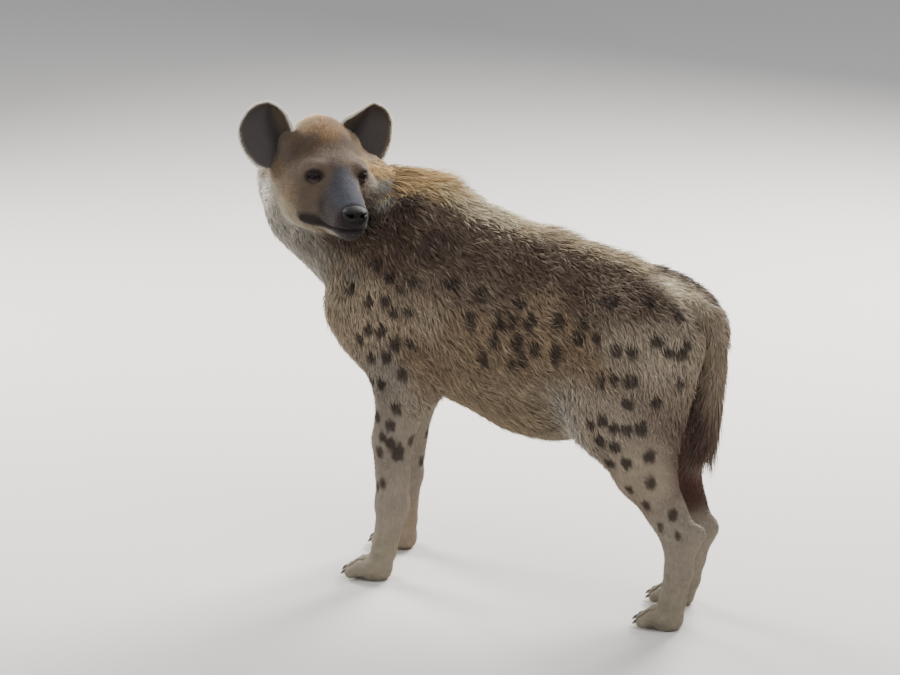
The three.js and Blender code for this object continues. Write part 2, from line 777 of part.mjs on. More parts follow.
function tailLocks() {
  const curve = new THREE.CatmullRomCurve3(TAIL_PATH.slice(2).map((station) => station.at));
  const locks = [];
  const rows = 4;
  for (let row = 0; row < rows; row++) {
    const share = row / (rows - 1);
    const at = curve.getPoint(0.18 + 0.74 * share);
    const along = curve.getTangent(0.18 + 0.74 * share);
    const number = 4;
    for (let n = 0; n < number; n++) {
      const a = ((n + 0.5 * (row % 2)) / number) * 2 * Math.PI + spread(0.2);
      const out = point(Math.cos(a), Math.sin(a), 0);
      if (out.x > 0.6 && row < 2) continue;
      const root = at.clone().addScaledVector(out, mix(16, 9, share));
      const length = mix(96, 60, share) * (1 + spread(0.12));
      locks.push(lock(root, out, along, length, mix(33, 25, share), 0.2 + spread(0.05)));
    }
  }
  return joined(locks);
}

// An ear: a cupped blade that stands up and outward from the skull and opens forward.
const EAR_ROWS = [
  [0, 32, 116],
  [0.18, 43, 104],
  [0.4, 50, 84],
  [0.62, 49, 66],
  [0.8, 39, 56],
  [0.93, 25, 48],
  [1, 12, 44],
];
const EAR_THICKNESS = 6;

function earFrame(side) {
  const axis = point(-0.02, side > 0 ? 0.6 : -0.34, 0.9).normalize();
  const facing = point(0.86, side * 0.5, -0.1);
  facing.addScaledVector(axis, -axis.dot(facing)).normalize();
  const across = axis.clone().cross(facing);
  return { base: point(-42, side > 0 ? 54 : -80, side > 0 ? 41 : 24), axis, facing, across };
}

function earShell(side, grow = 0) {
  const { base, axis, facing, across } = earFrame(side);
  const columns = 8;
  const positions = [];
  for (const thin of [-grow, EAR_THICKNESS + grow])
    for (const [up, half, opening] of EAR_ROWS) {
      const reach = THREE.MathUtils.degToRad(opening);
      const radius = half / Math.sin(Math.min(reach, Math.PI / 2));
      for (let n = 0; n <= columns; n++) {
        const a = mix(-reach, reach, n / columns);
        const inner = Math.max(radius - thin, radius * 0.5);
        const p = base
          .clone()
          .addScaledVector(axis, up * EAR_HEIGHT * 1.16)
          .addScaledVector(across, inner * Math.sin(a))
          .addScaledVector(facing, radius - inner * Math.cos(a) + 5 * up);
        const world = onHead(p.x, p.y, p.z);
        positions.push(world.x, world.y, world.z);
      }
    }
  const rows = EAR_ROWS.length;
  const at = (layer, row, column) => (layer * rows + row) * (columns + 1) + column;
  const index = [];
  const quad = (a, b, c, d) => index.push(a, c, b, a, d, c);
  for (let row = 0; row < rows - 1; row++) {
    for (let n = 0; n < columns; n++) {
      quad(at(0, row, n), at(0, row, n + 1), at(0, row + 1, n + 1), at(0, row + 1, n));
      quad(at(1, row, n), at(1, row + 1, n), at(1, row + 1, n + 1), at(1, row, n + 1));
    }
    quad(at(0, row, 0), at(0, row + 1, 0), at(1, row + 1, 0), at(1, row, 0));
    quad(at(0, row, columns), at(1, row, columns), at(1, row + 1, columns), at(0, row + 1, columns));
  }
  for (let n = 0; n < columns; n++) {
    quad(at(0, 0, n), at(1, 0, n), at(1, 0, n + 1), at(0, 0, n + 1));
    quad(at(0, rows - 1, n), at(0, rows - 1, n + 1), at(1, rows - 1, n + 1), at(1, rows - 1, n));
  }
  const made = new THREE.BufferGeometry()
    .setAttribute("position", new THREE.Float32BufferAttribute(positions, 3))
    .setIndex(index);
  return solid(made);
}

function earCut(side) {
  const { base, axis, facing } = earFrame(side);
  const place = base.clone().addScaledVector(axis, 20).addScaledVector(facing, 22);
  const turned = (v) => v.clone().applyMatrix4(new THREE.Matrix4().extractRotation(HEAD_TURN));
  return cutAt(onHead(place.x, place.y, place.z), turned(axis), 140, 44, 52, turned(facing));
}

// A round solid on the head, such as an eye or the nose pad.
function roundOnHead(at, radii, grow = 0, detail = 2) {
  const made = new THREE.IcosahedronGeometry(1, detail);
  made.scale(radii[0] + grow, radii[1] + grow, radii[2] + grow).translate(...at);
  return solid(made.applyMatrix4(HEAD_TURN));
}

const eyeBall = (side, grow) => roundOnHead(eyeAt(side).centre, [EYE_RADIUS, EYE_RADIUS, EYE_RADIUS], grow);

// The eyelids: a thin dome over the eyeball, open along an almond that is set a little lower at the nose.
const LID_THICKNESS = 3;
const LID_OPENING = { half: 13, tall: 8, tilt: 0.2 };

function lidOpening(side) {
  const { centre, facing } = eyeAt(side);
  const { half, tall, tilt } = LID_OPENING;
  const almond = new THREE.Shape()
    .moveTo(-half, 0)
    .quadraticCurveTo(-half * 0.2, tall * 1.9, half, 0)
    .quadraticCurveTo(-half * 0.1, -tall * 1.5, -half, 0);
  const made = new THREE.ExtrudeGeometry(almond, { depth: 34, curveSegments: 5, bevelEnabled: false });
  const out = point(...facing).normalize();
  const across = point(0, 0, 1).cross(out).normalize();
  const up = out.clone().cross(across);
  made.rotateZ(-side * tilt).translate(0, 0, 5);
  made.applyMatrix4(new THREE.Matrix4().makeBasis(across, up, out)).translate(...centre);
  return solid(made.applyMatrix4(HEAD_TURN));
}

const lidDome = (side) => eyeBall(side, LID_THICKNESS);

// The line of the mouth, from the middle of the front back to the corner under the eye.
const MOUTH_LINE = [
  [203, 0, -72],
  [190, 20, -73],
  [160, 33, -74],
  [128, 40, -73],
  [96, 46, -68],
  [70, 50, -58],
  [56, 52, -46],
];

// A place on the face, reached from outside along the line to the head's long axis.
function onFace(f, l, u) {
  const axis = [Math.min(f, NOSE_AT - 60), 0, -52];
  let [low, high] = [0, 2.4];
  for (let i = 0; i < 24; i++) {
    const t = (low + high) / 2;
    const p = onHead(mix(axis[0], f, t), mix(axis[1], l, t), mix(axis[2], u, t));
    if (faceDistance(p.x, p.y, p.z) < 0) low = t;
    else high = t;
  }
  return onHead(mix(axis[0], f, low), mix(axis[1], l, low), mix(axis[2], u, low));
}

// A cord along the mouth, moved up or down the face and out of or into it.
function alongMouth(up, out, radius, sides) {
  const half = MOUTH_LINE.map(([f, l, u]) => [f, l, u + up]);
  const line = [...half.slice(1).reverse().map(([f, l, u]) => [f, -l, u]), ...half];
  const stations = line.map((place, i) => {
    const at = onFace(...place);
    at.addScaledVector(outwards(at, faceDistance), out);
    const end = i === 0 || i === line.length - 1;
    return { at, size: end ? radius * 0.4 : radius, thick: end ? radius * 0.4 : radius };
  });
  return tube(stations, sides, HEAD_AXES[2]);
}

// The part of the body's field round the head, polygonised along the head's own axes.
function headNode(cell) {
  const local = (f, l, u) => {
    const p = onHead(f, l, u);
    return bodyDistance(p.x, p.y, p.z);
  };
  const net = surfaceNet(local, point(-110, -170, -190), point(250, 170, 150), cell);
  return solid(net.applyMatrix4(HEAD_TURN));
}

// Torso, neck and head
const torsoBox = [point(-545, -175, 290), point(350, 175, 860), [39, 34, 38]];
const neckBox = [point(90, -160, 470), point(520, 230, 930), [27, 25, 27]];
const mane = maneLocks();
const trunk = node(...torsoBox);
const throat = node(...neckBox);
let torso = trunk.add(mane).subtract(beyond(NECK_CUT)).subtract(beyond(HEAD_CUT));
for (const legBlock of legBlocks) torso = torso.subtract(legBlock);
let neck = throat.add(mane).intersect(within(NECK_CUT)).subtract(beyond(HEAD_CUT));
let head = headNode([18, 15, 15]);
for (const side of [1, -1]) head = head.add(lidDome(side));
head = head.add(alongMouth(5.5, -2.5, 5, 5)).add(alongMouth(-5, -2.5, 4.5, 5)).subtract(alongMouth(0, 0.5, 2.6, 4));
head = head.intersect(within(HEAD_CUT));
for (const side of [1, -1]) {
  const sideName = side > 0 ? "left" : "right";
  const cut = earCut(side);
  const shell = earShell(side);
  const blade = shell.intersect(within(cut)).subtract(swollen(throat, 1.5 * GAP));
  add(`ear_${sideName}`, blade, COLOURS.ear);
  head = head.add(shell.intersect(within(HEAD_CUT))).subtract(beyond(cut));
  head = head.subtract(lidOpening(side)).subtract(eyeBall(side, GAP));
  add(`eye_${sideName}`, eyeBall(side, 0), COLOURS.eye, 0.15);
  neck = neck.subtract(beyond(cut).intersect(earShell(side, GAP)));
}
head = head.subtract(roundOnHead(NOSE_PAD.at, NOSE_PAD.radii, GAP));
let nose = roundOnHead(NOSE_PAD.at, NOSE_PAD.radii);
for (const side of [1, -1]) nose = nose.subtract(roundOnHead([NOSE_AT + 3, side * 9.5, -42], [9, 4.5, 5], 0, 0));
add("nose", nose, COLOURS.nose, 0.35);

const tailCore = solid(surfaceNet(tailDistance, point(-545, -44, 370), point(-430, 44, 660), [16, 14, 26]));
const tail = tailCore.add(tailLocks()).subtract(swollen(trunk, 1.5 * GAP));

add("torso", torso, COLOURS.torso);
add("neck", neck, COLOURS.neck);
add("head", head, COLOURS.head);
add("tail", tail, COLOURS.tail);

// The whole model, moved so that its box stands on the middle of the floor.
const group = new THREE.Group();
group.name = "spotted_hyena";
const box = new THREE.Box3();
for (const piece of pieces) {
  piece.geometry = geometryOf(piece.made);
  box.expandByObject(new THREE.Mesh(piece.geometry));
}
const home = point(-(box.min.x + box.max.x) / 2, -(box.min.y + box.max.y) / 2, -box.min.z);
for (const { name, geometry, colour, roughness } of pieces) {
  const material = new THREE.MeshStandardMaterial({ color: colour, roughness, metalness: 0 });
  const mesh = new THREE.Mesh(geometry.translate(home.x, home.y, home.z), material);
  mesh.name = name;
  group.add(mesh);
}

export default group;
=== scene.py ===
"""A spotted hyena, adult and life size: it stands on all four feet and looks back over its left shoulder.

Lengths in the formulas are in millimetres, X forward along the trunk, Y to the animal's left and Z up.
They become metres, in the row frame, only where a mesh is made.
"""

import math

import bpy
import numpy as np
from mathutils import Matrix, Vector


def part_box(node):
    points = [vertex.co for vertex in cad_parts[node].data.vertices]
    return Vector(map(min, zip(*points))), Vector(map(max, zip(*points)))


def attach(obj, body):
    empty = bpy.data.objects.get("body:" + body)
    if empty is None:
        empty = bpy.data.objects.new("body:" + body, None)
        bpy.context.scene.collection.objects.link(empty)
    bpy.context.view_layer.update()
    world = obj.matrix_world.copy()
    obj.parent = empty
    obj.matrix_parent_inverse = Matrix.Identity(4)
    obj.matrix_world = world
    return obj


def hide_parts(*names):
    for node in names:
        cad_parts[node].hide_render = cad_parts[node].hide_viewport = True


bl_info = {
    "name": "Spotted Hyena",
    "version": (1, 0, 0),
    "blender": (4, 5, 0),
    "location": "View3D > Sidebar > Hyena",
    "description": "Skin, coat, eyes, nose and claws of a life-size spotted hyena",
    "category": "Add Mesh",
}

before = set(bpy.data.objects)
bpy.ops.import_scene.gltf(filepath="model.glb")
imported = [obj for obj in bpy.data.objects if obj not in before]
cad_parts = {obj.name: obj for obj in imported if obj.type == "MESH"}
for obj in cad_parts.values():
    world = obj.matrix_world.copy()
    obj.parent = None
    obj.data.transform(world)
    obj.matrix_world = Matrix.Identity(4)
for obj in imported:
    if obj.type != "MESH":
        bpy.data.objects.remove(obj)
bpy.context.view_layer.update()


# Small helpers

def vec(*numbers):
    """A row of numbers as an array."""
    return np.array(numbers, float)


def unit(v):
    """Vectors scaled to length one."""
    v = np.asarray(v, float)
    return v / np.maximum(np.linalg.norm(v, axis=-1, keepdims=True), 1e-9)


def mix(a, b, share):
    """From a at share 0 to b at share 1, in a straight line."""
    return a + (b - a) * share


def smooth_step(low, high, value):
    """0 below low, 1 above high, and 3 t^2 - 2 t^3 between them."""
    t = np.clip((value - low) / (high - low), 0, 1)
    return t * t * (3 - 2 * t)


def varied(rng, count, spread, low, high):
    """Random factors round 1, kept between low and high."""
    return (1 + spread * rng.normal(size=count)).clip(low, high)


def ball_angles(rows, columns):
    """Angles down from a ball's pole, in a column, and round it, in a row."""
    down = np.linspace(0, math.pi, rows)[:, None]
    return down, np.linspace(0, 2 * math.pi, columns, endpoint=False)[None]


def in_surface(way, out):
    """Ways with their share along the normals taken off."""
    return way - out * (way * out).sum(1)[:, None]


def halved(quads):
    """Faces of four corners, each as two triangles."""
    return np.vstack([quads[:, [0, 1, 2]], quads[:, [0, 2, 3]]])


def linear(red, green, blue):
    """A screen colour of 0 to 255 a channel, as the linear light of it."""
    channels = (red, green, blue)
    return tuple(((c / 255 + 0.055) / 1.055) ** 2.4 if c > 10 else c / 255 / 12.92 for c in channels)


def waves(points, size, seed, count=7):
    """Smooth noise of about -1 to 1: a sum of sine waves of random direction, one wave about size long."""
    rng = np.random.default_rng(seed)
    total = np.zeros(len(points))
    for direction in unit(rng.normal(size=(count, 3))):
        pace = 2 * math.pi / (size * rng.uniform(0.7, 1.4))
        total += np.sin(points @ direction * pace + rng.uniform(0, 6.28))
    return total / math.sqrt(count)


def streaks(points, size, seed):
    """Noise drawn out to four times its size along the lie of the flanks, which runs back and down."""
    along = vec(-0.85, 0, -0.53)
    return waves(points - (points @ along)[:, None] * along * 0.75, size, seed)


# Sizes and colours that a user may change

def size_property(name, description, default):
    """One length in metres."""
    return bpy.props.FloatProperty(
        name=name, description=description, default=default, unit="LENGTH", min=0.001
    )


def colour_property(name, description, shade):
    """One colour, given as a screen colour of 0 to 255 a channel."""
    return bpy.props.FloatVectorProperty(
        name=name, description=description, default=linear(*shade), subtype="COLOR", size=3, min=0, max=1
    )


class HyenaSizes(bpy.types.PropertyGroup):
    """Driving dimensions of the animal and of its coat."""

    shoulder_height: size_property("Shoulder height", "Top of the shoulders above the ground", 0.785)
    croup_height: size_property("Croup height", "Top of the hindquarters above the ground", 0.694)
    trunk_width: size_property("Trunk width", "Across the ribs, coat included", 0.300)
    head_length: size_property("Head length", "From the back of the skull to the tip of the nose", 0.302)
    paw_width: size_property("Paw width", "Across a forepaw", 0.074)
    mane_length: size_property("Mane length", "Longest hair of the mane, over the shoulders", 0.094)
    tail_hair: size_property("Tail hair", "Longest hair of the tail's brush", 0.105)


class HyenaColours(bpy.types.PropertyGroup):
    """Colours of the coat, the bare skin and the eyes."""

    crown: colour_property("Crown", "Golden brown between the ears", (128, 100, 68))
    face: colour_property("Face", "Grey brown round the eyes", (96, 81, 68))
    # Muzzle: dark grey, tinted blue as a painted reflection along the bridge
    muzzle: colour_property("Muzzle", "Dark blue grey of the muzzle", (64, 67, 76))
    chin: colour_property("Chin", "Dark grey brown of chin and lower lip", (54, 47, 46))
    # Painted shade: the neck's grey darkened where the turned head shades it
    painted_neck_shade: colour_property("Side of the neck", "Grey of the neck in the shade of the head", (126, 120, 109))
    throat: colour_property("Throat", "Whitish grey of the throat and inside the legs", (178, 172, 161))
    ruff: colour_property("Ruff", "Whitish hair behind the cheek and round the ears", (216, 211, 199))
    golden: colour_property("Nape", "Golden blond of the nape", (222, 190, 138))
    cream: colour_property("Crest", "Cream tips along the crest", (238, 224, 194))
    back: colour_property("Back", "Grey brown of the back", (117, 100, 84))
    flank: colour_property("Flank", "Tan brown of the flank", (142, 121, 97))
    belly: colour_property("Belly", "Light tan of the belly", (154, 136, 110))
    shoulder: colour_property("Shoulder", "Tan of the shoulder", (162, 145, 122))
    haunch: colour_property("Haunch", "Light grey of the haunch", (164, 150, 131))
    leg: colour_property("Legs", "Grey beige of the legs", (146, 135, 121))
    foot: colour_property("Feet", "Greyish hair of the feet", (142, 133, 115))
    dark: colour_property("Dark patch", "Dark brown at the root of the mane", (72, 55, 45))
    spot: colour_property("Spots", "Blackish brown of the spots", (50, 38, 32))
    tail: colour_property("Tail", "Grey brown of the tail", (150, 134, 114))
    brush: colour_property("Tail brush", "Dark brown of the tail's end", (78, 56, 47))
    band: colour_property("Upper flank", "Dark brown of the shaggy band below the crest", (92, 74, 61))
    cheek: colour_property("Cheek", "Golden brown of the cheek", (118, 98, 70))
    brow: colour_property("Forehead", "Brown between the eyes", (82, 66, 52))
    jaw: colour_property("Jaw", "Dull cream of the jaw", (138, 127, 104))
    lip: colour_property("Lips", "Dark grey brown round the mouth and the nose", (44, 37, 38))
    lid: colour_property("Lids", "Blackish skin round the eyes", (36, 29, 27))
    # Inner thigh: a reddish brown, darkened as painted shade between the hind legs
    inner: colour_property("Inner thigh", "Reddish brown between the hind legs", (84, 56, 49))
    ear_back: colour_property("Back of the ear", "Short brown hair behind the ear", (124, 106, 88))
    ear_inside: colour_property("Inside of the ear", "Charcoal skin in the cup of the ear", (74, 69, 68))
    iris: colour_property("Iris", "Dark brown of the eye", (40, 24, 15))
    nose: colour_property("Nose", "Black of the nose pad", (7, 6, 7))
    claw: colour_property("Claws", "Dark horn of the claws", (58, 50, 44))
    floor: colour_property("Floor", "Pale floor of the studio", (222, 219, 214))


def sizes():
    """The sizes of the scene, in millimetres by name."""
    made = bpy.context.scene.hyena_sizes
    return {name: getattr(made, name) * 1000 for name in HyenaSizes.__annotations__}


def palette():
    """The colours of the scene as arrays by name."""
    made = bpy.context.scene.hyena_colours
    return {name: np.array(getattr(made, name)[:]) for name in HyenaColours.__annotations__}


# Masses: one smooth field like the solids' own, with tighter joints in the legs and smaller ear roots

BODY_AXES = np.eye(3)
HEAD_YAW = math.radians(141)
HEAD_LIFT = math.radians(5)
HEAD_ROLL = math.radians(-5.5)
SKULL = vec(315, 87, 795)


def turn_about(axis, angle):
    """A rotation about X, Y or Z as a matrix."""
    c, s = math.cos(angle), math.sin(angle)
    a, b = [(1, 2), (2, 0), (0, 1)][axis]
    made = np.eye(3)
    made[a, a] = made[b, b] = c
    made[a, b] = -s
    made[b, a] = s
    return made


HEAD_TURN = turn_about(2, HEAD_YAW) @ turn_about(1, -HEAD_LIFT) @ turn_about(0, HEAD_ROLL)
HEAD_AXES = HEAD_TURN.T


def on_head(forward, left, up):
    """A place on the head: forward from the middle of the skull, to its left, and up."""
    return SKULL + HEAD_TURN @ vec(forward, left, up)


def from_head(points):
    """Places of the head's own axes, in the body's."""
    return SKULL + np.asarray(points, float) @ HEAD_TURN.T


def to_head(points):
    """Places of the body, in the head's own axes."""
    return (points - SKULL) @ HEAD_TURN


class Mass:
    """One mass: how far places lie outside it, its blend with what is there, and its box."""

    def __init__(self, low, high, blend, distance):
        self.low = low
        self.high = high
        self.blend = blend
        self.distance = distance


def ball(centre, radii, blend, axes=BODY_AXES):
    """An ellipsoid: with k0 = |p/r| and k1 = |p/r^2| in its own axes, a place is k0 (k0 - 1) / k1 outside."""
    radii = np.array(radii, float)
    centre = np.array(centre, float)

    def distance(points):
        local = (points - centre) @ axes.T / radii
        k0 = np.linalg.norm(local, axis=1)
        k1 = np.linalg.norm(local / radii, axis=1)
        return np.where(k1 < 1e-9, -radii.min(), k0 * (k0 - 1) / np.maximum(k1, 1e-9))

    return Mass(centre - radii.max(), centre + radii.max(), blend, distance)


def limb(start, end, radius_start, radius_end, blend, flat=1, side=BODY_AXES[1]):
    """A tapered rod: the distance to its line, stretched by 1/flat along its side, less the radius there."""
    start = np.array(start, float)
    end = np.array(end, float)
    along = end - start

    def distance(points):
        from_start = points - start
        t = np.clip(from_start @ along / (along @ along), 0, 1)
        away = from_start - t[:, None] * along
        away = away + side * ((away @ side) * (1 / flat - 1))[:, None]
        return np.linalg.norm(away, axis=1) - mix(radius_start, radius_end, t)

    reach = max(radius_start, radius_end)
    return Mass(np.minimum(start, end) - reach, np.maximum(start, end) + reach, blend, distance)


def through(rows, per_step):
    """A smooth curve through rows of numbers: a uniform Catmull-Rom spline, per_step places to a span."""
    rows = np.asarray(rows, float)
    padded = np.vstack([rows[:1], rows, rows[-1:]])
    t = np.linspace(0, len(rows) - 1, (len(rows) - 1) * per_step + 1)
    span = np.minimum(t.astype(int), len(rows) - 2)
    t = (t - span)[:, None]
    a, b, c, d = (padded[span + i] for i in range(4))
    v0 = (c - a) / 2
    v1 = (d - b) / 2
    return (2 * b - 2 * c + v0 + v1) * t**3 + (3 * c - 3 * b - 2 * v0 - v1) * t**2 + v0 * t + b


def barrel(sections, blend):
    """The trunk: at each X an ellipse, (|(y/w, z/h)| - 1) min(w, h), between back and belly."""
    table = through(sections, 60)[::-1]
    first, last = sections[0][0], sections[-1][0]

    def distance(points):
        at = np.clip(points[:, 0], last, first)
        top, bottom, wide = (np.interp(at, table[:, 0], table[:, i]) for i in (1, 2, 3))
        tall = (top - bottom) / 2
        middle = (top + bottom) / 2
        ring = np.hypot(points[:, 1] / wide, (points[:, 2] - middle) / tall) - 1
        ring = ring * np.minimum(wide, tall)
        beyond = np.hypot(np.maximum(ring, 0), points[:, 0] - at) + np.minimum(ring, 0)
        return np.where(points[:, 0] == at, ring, beyond)

    half = max(s[3] for s in sections)
    return Mass(vec(last, -half, 300), vec(first, half, 800), blend, distance)


FORELEG_LEFT = {
    "name": "foreleg_left", "side": 1, "turn": 0.06, "size": 1.0,
    "blade": (120, 66, 690), "shoulder": (222, 84, 545), "elbow": (120, 98, 428),
    "forearm": (150, 104, 292), "wrist": (148, 106, 162), "knuckle": (168, 107, 62),
    "paw": (191, 107, 0), "pastern": 25,
}
FORELEG_RIGHT = {
    "name": "foreleg_right", "side": -1, "turn": -0.06, "size": 1.0,
    "blade": (130, -66, 690), "shoulder": (240, -84, 545), "elbow": (170, -92, 428),
    "forearm": (216, -86, 292), "wrist": (226, -80, 160), "knuckle": (229, -78, 62),
    "paw": (242, -76, 0), "pastern": 25,
}
HINDLEG_LEFT = {
    "name": "hindleg_left", "side": 1, "turn": 0.05, "size": 0.93,
    "hip": (-362, 72, 568), "seat": (-424, 62, 556), "knee": (-322, 92, 412), "calf": (-392, 88, 318),
    "hock": (-466, 76, 188), "heel": (-502, 76, 206), "shin": (-460, 70, 120), "knuckle": (-447, 66, 58),
    "paw": (-430, 64, 0), "pastern": 26,
}
HINDLEG_RIGHT = {
    "name": "hindleg_right", "side": -1, "turn": -0.05, "size": 0.93,
    "hip": (-356, -72, 564), "seat": (-418, -62, 552), "knee": (-298, -92, 398), "calf": (-362, -86, 290),
    "hock": (-428, -76, 154), "heel": (-456, -76, 166), "shin": (-420, -72, 98), "knuckle": (-412, -70, 54),
    "paw": (-390, -68, 0), "pastern": 26,
}
LEGS = [FORELEG_LEFT, FORELEG_RIGHT, HINDLEG_LEFT, HINDLEG_RIGHT]
# Four toes side by side: their places in steps, the step as a share of the paw's width, and the fan
TOES = [-1.5, -0.5, 0.5, 1.5]
TOE_STEP = 0.235
TOE_FAN = 0.11
TAIL_PATH = [
    (-440, 0, 622, 26), (-478, 0, 600, 24), (-494, 0, 555, 20), (-492, 0, 500, 18), (-484, 0, 440, 15),
    (-476, 0, 400, 9),
]


def toe_of(leg, place):
    """Root, knuckle and tip of one toe, and the way that it points: four stand side by side, fanned out."""
    size = leg["size"]
    paw_width = sizes()["paw_width"]
    turn = leg["turn"] + place * TOE_FAN
    forward = vec(math.cos(turn), math.sin(turn), 0)
    ahead = 2 if abs(place) > 1 else 12
    root = vec(*leg["paw"]) + vec(ahead, place * paw_width * TOE_STEP * size, 27 * size)
    knuckle = root + forward * 14 * size
    tip = root + forward * 34 * size
    tip[2] = 15 * size
    return root, knuckle, tip, forward


def paw_masses(leg):
    """The pastern, the pad and four toes."""
    size = leg["size"]
    paw = vec(*leg["paw"])
    half = sizes()["paw_width"] / 2 - 3
    masses = [
        limb(leg["knuckle"], paw + vec(-12, 0, 22 * size), leg["pastern"], leg["pastern"] - 1, 8, 0.98),
        ball(paw + vec(2, 0, 22 * size), (34 * size, half * size, 27 * size), 16),
    ]
    for place in TOES:
        root, knuckle, tip, _ = toe_of(leg, place)
        masses.append(limb(root, knuckle, 15 * size, 13.5 * size, 7))
        masses.append(limb(knuckle, tip, 13.5 * size, 12 * size, 5))
    return masses


def foreleg_masses(leg):
    """Shoulder, arm, forearm, wrist and paw."""
    return [
        limb(leg["blade"], leg["shoulder"], 78, 76, 50, 0.62),
        limb(leg["shoulder"], leg["elbow"], 74, 66, 44, 0.62),
        ball(vec(*leg["elbow"]) + vec(-34, 0, 6), (30, 26, 34), 30),
        limb(leg["elbow"], leg["forearm"], 62, 42, 40, 0.72),
        limb(leg["forearm"], leg["wrist"], 42, 33, 12, 0.84),
        ball(vec(*leg["wrist"]) + vec(2, 0, 0), (34, 32, 40), 14),
        limb(leg["wrist"], leg["knuckle"], 32, 25, 10, 0.95),
        *paw_masses(leg),
    ]


def hindleg_masses(leg):
    """Thigh, seat, knee, calf, hock with its heel, shin and paw."""
    return [
        limb(leg["hip"], leg["knee"], 88, 72, 60, 0.7),
        limb(leg["seat"], leg["calf"], 72, 54, 44, 0.68),
        ball(vec(*leg["knee"]) + vec(14, 0, 0), (52, 44, 62), 40),
        limb(leg["knee"], leg["calf"], 66, 56, 40, 0.68),
        limb(leg["calf"], leg["hock"], 55, 36, 20, 0.72),
        limb(leg["heel"], leg["hock"], 17, 30, 22, 0.8),
        limb(leg["hock"], leg["shin"], 36, 28, 10, 0.8),
        limb(leg["shin"], leg["knuckle"], 28, 26, 8, 0.92),
        *paw_masses(leg),
    ]


EYE_RADIUS = 14.5


def nose_reach():
    """How far forward of the middle of the skull the nose ends: 0.7 of the head's length."""
    return sizes()["head_length"] * 0.7


def nose_pad_middle():
    """Middle of the nose pad, in the head's axes."""
    return vec(nose_reach() - 15, 0, -43)


def eye_at(side):
    """Middle of an eyeball, and the way that it looks, in the head's axes."""
    return vec(85, side * 43, 14), unit(vec(0.8, side * 0.56, 0.12))


def head_masses():
    """Skull, crown, brow, bridge, muzzle, jaw, cheeks, jaw muscles, ruff, brow ridges and ear roots."""
    nose_at = nose_reach()

    def round_mass(f, l, u, radii, blend):
        return ball(on_head(f, l, u), radii, blend, HEAD_AXES)

    def bone(a, b, ra, rb, blend, flat):
        return limb(on_head(*a), on_head(*b), ra, rb, blend, flat, HEAD_AXES[1])

    masses = [
        round_mass(-10, 0, 14, (84, 76, 78), 40),
        round_mass(-30, 0, 66, (64, 55, 57), 30),
        round_mass(62, 0, 26, (44, 56, 34), 26),
        bone((84, 0, 2), (nose_at - 38, 0, -45), 41, 31, 26, 0.98),
        bone((104, 0, -34), (nose_at - 40, 0, -56), 37, 27, 20, 1.12),
        bone((20, 0, -56), (nose_at - 38, 0, -78), 44, 17, 22, 1.08),
    ]
    both = (1, -1)
    masses += [round_mass(30, s * 54, -22, (60, 38, 52), 30) for s in both]
    masses += [bone((-40, s * 52, -36), (64, s * 38, -60), 46, 30, 30, 0.9) for s in both]
    masses += [round_mass(-48, s * 66, -24, (36, 30, 62), 26) for s in both]
    masses += [bone((66, s * 52, 28), (94, s * 38, 32), 15, 12, 16, 1) for s in both]
    masses += [bone((-36, s * 48, 56), (-37, s * 62, 68), 26, 15, 34, 1) for s in both]
    return masses


def neck_masses():
    """Three short lengths from the chest up and round to the skull."""
    path = [
        (150, 0, 640, 141, 0.74),
        (272, 6, 679, 121, 0.8),
        (362, 18, 745, 112, 0.84),
        (392, 32, 790, 88, 0.92),
    ]
    return [limb(a[:3], b[:3], a[3], b[3], 60, (a[4] + b[4]) / 2) for a, b in zip(path, path[1:])]


def tail_masses():
    """The core of the tail."""
    return [limb(a[:3], b[:3], a[3], b[3], 18) for a, b in zip(TAIL_PATH, TAIL_PATH[1:])]


def trunk_masses():
    """The barrel of the trunk, the chest and the rump."""
    size = sizes()
    high, croup, half = size["shoulder_height"], size["croup_height"], size["trunk_width"] / 2
    sections = [
        (230, high - 38, 410, half * 0.66),
        (125, high - 5, 380, half * 0.88),
        (10, high - 30, 350, half * 0.99),
        (-80, high - 47, 320, half),
        (-170, high - 61, 316, half * 0.97),
        (-260, croup + 14, 350, half * 0.9),
        (-340, croup - 12, 425, half * 0.8),
        (-405, croup - 58, 475, half * 0.56),
    ]
    return [
        barrel(sections, 0),
        ball((205, 0, 545), (104, 104, 158), 60),
        ball((-372, 0, 562), (88, 88, 92), 50),
    ]


def field_of(masses):
    """Distance outside a group of masses: each joins by a smooth minimum, share^2 blend / 4 lower."""

    def distance(points):
        found = np.full(len(points), 1e3)
        for mass in masses:
            margin = mass.blend + 40
            near = np.all((points > mass.low - margin) & (points < mass.high + margin), axis=1)
            new = mass.distance(points[near])
            old = found[near]
            share = np.maximum(mass.blend - np.abs(old - new), 0) / max(mass.blend, 1e-6)
            found[near] = np.minimum(old, new) - share**2 * mass.blend / 4
        return found

    return distance


def slope(distance, points, step=0.8):
    """The gradient of a distance at places, by central differences."""
    parts = []
    for axis in np.eye(3) * step:
        parts.append((distance(points + axis) - distance(points - axis)) / (2 * step))
    return np.stack(parts, 1)


# The lie of the coat: guide places, each with the hair's way, length, depth and colour, and their blend

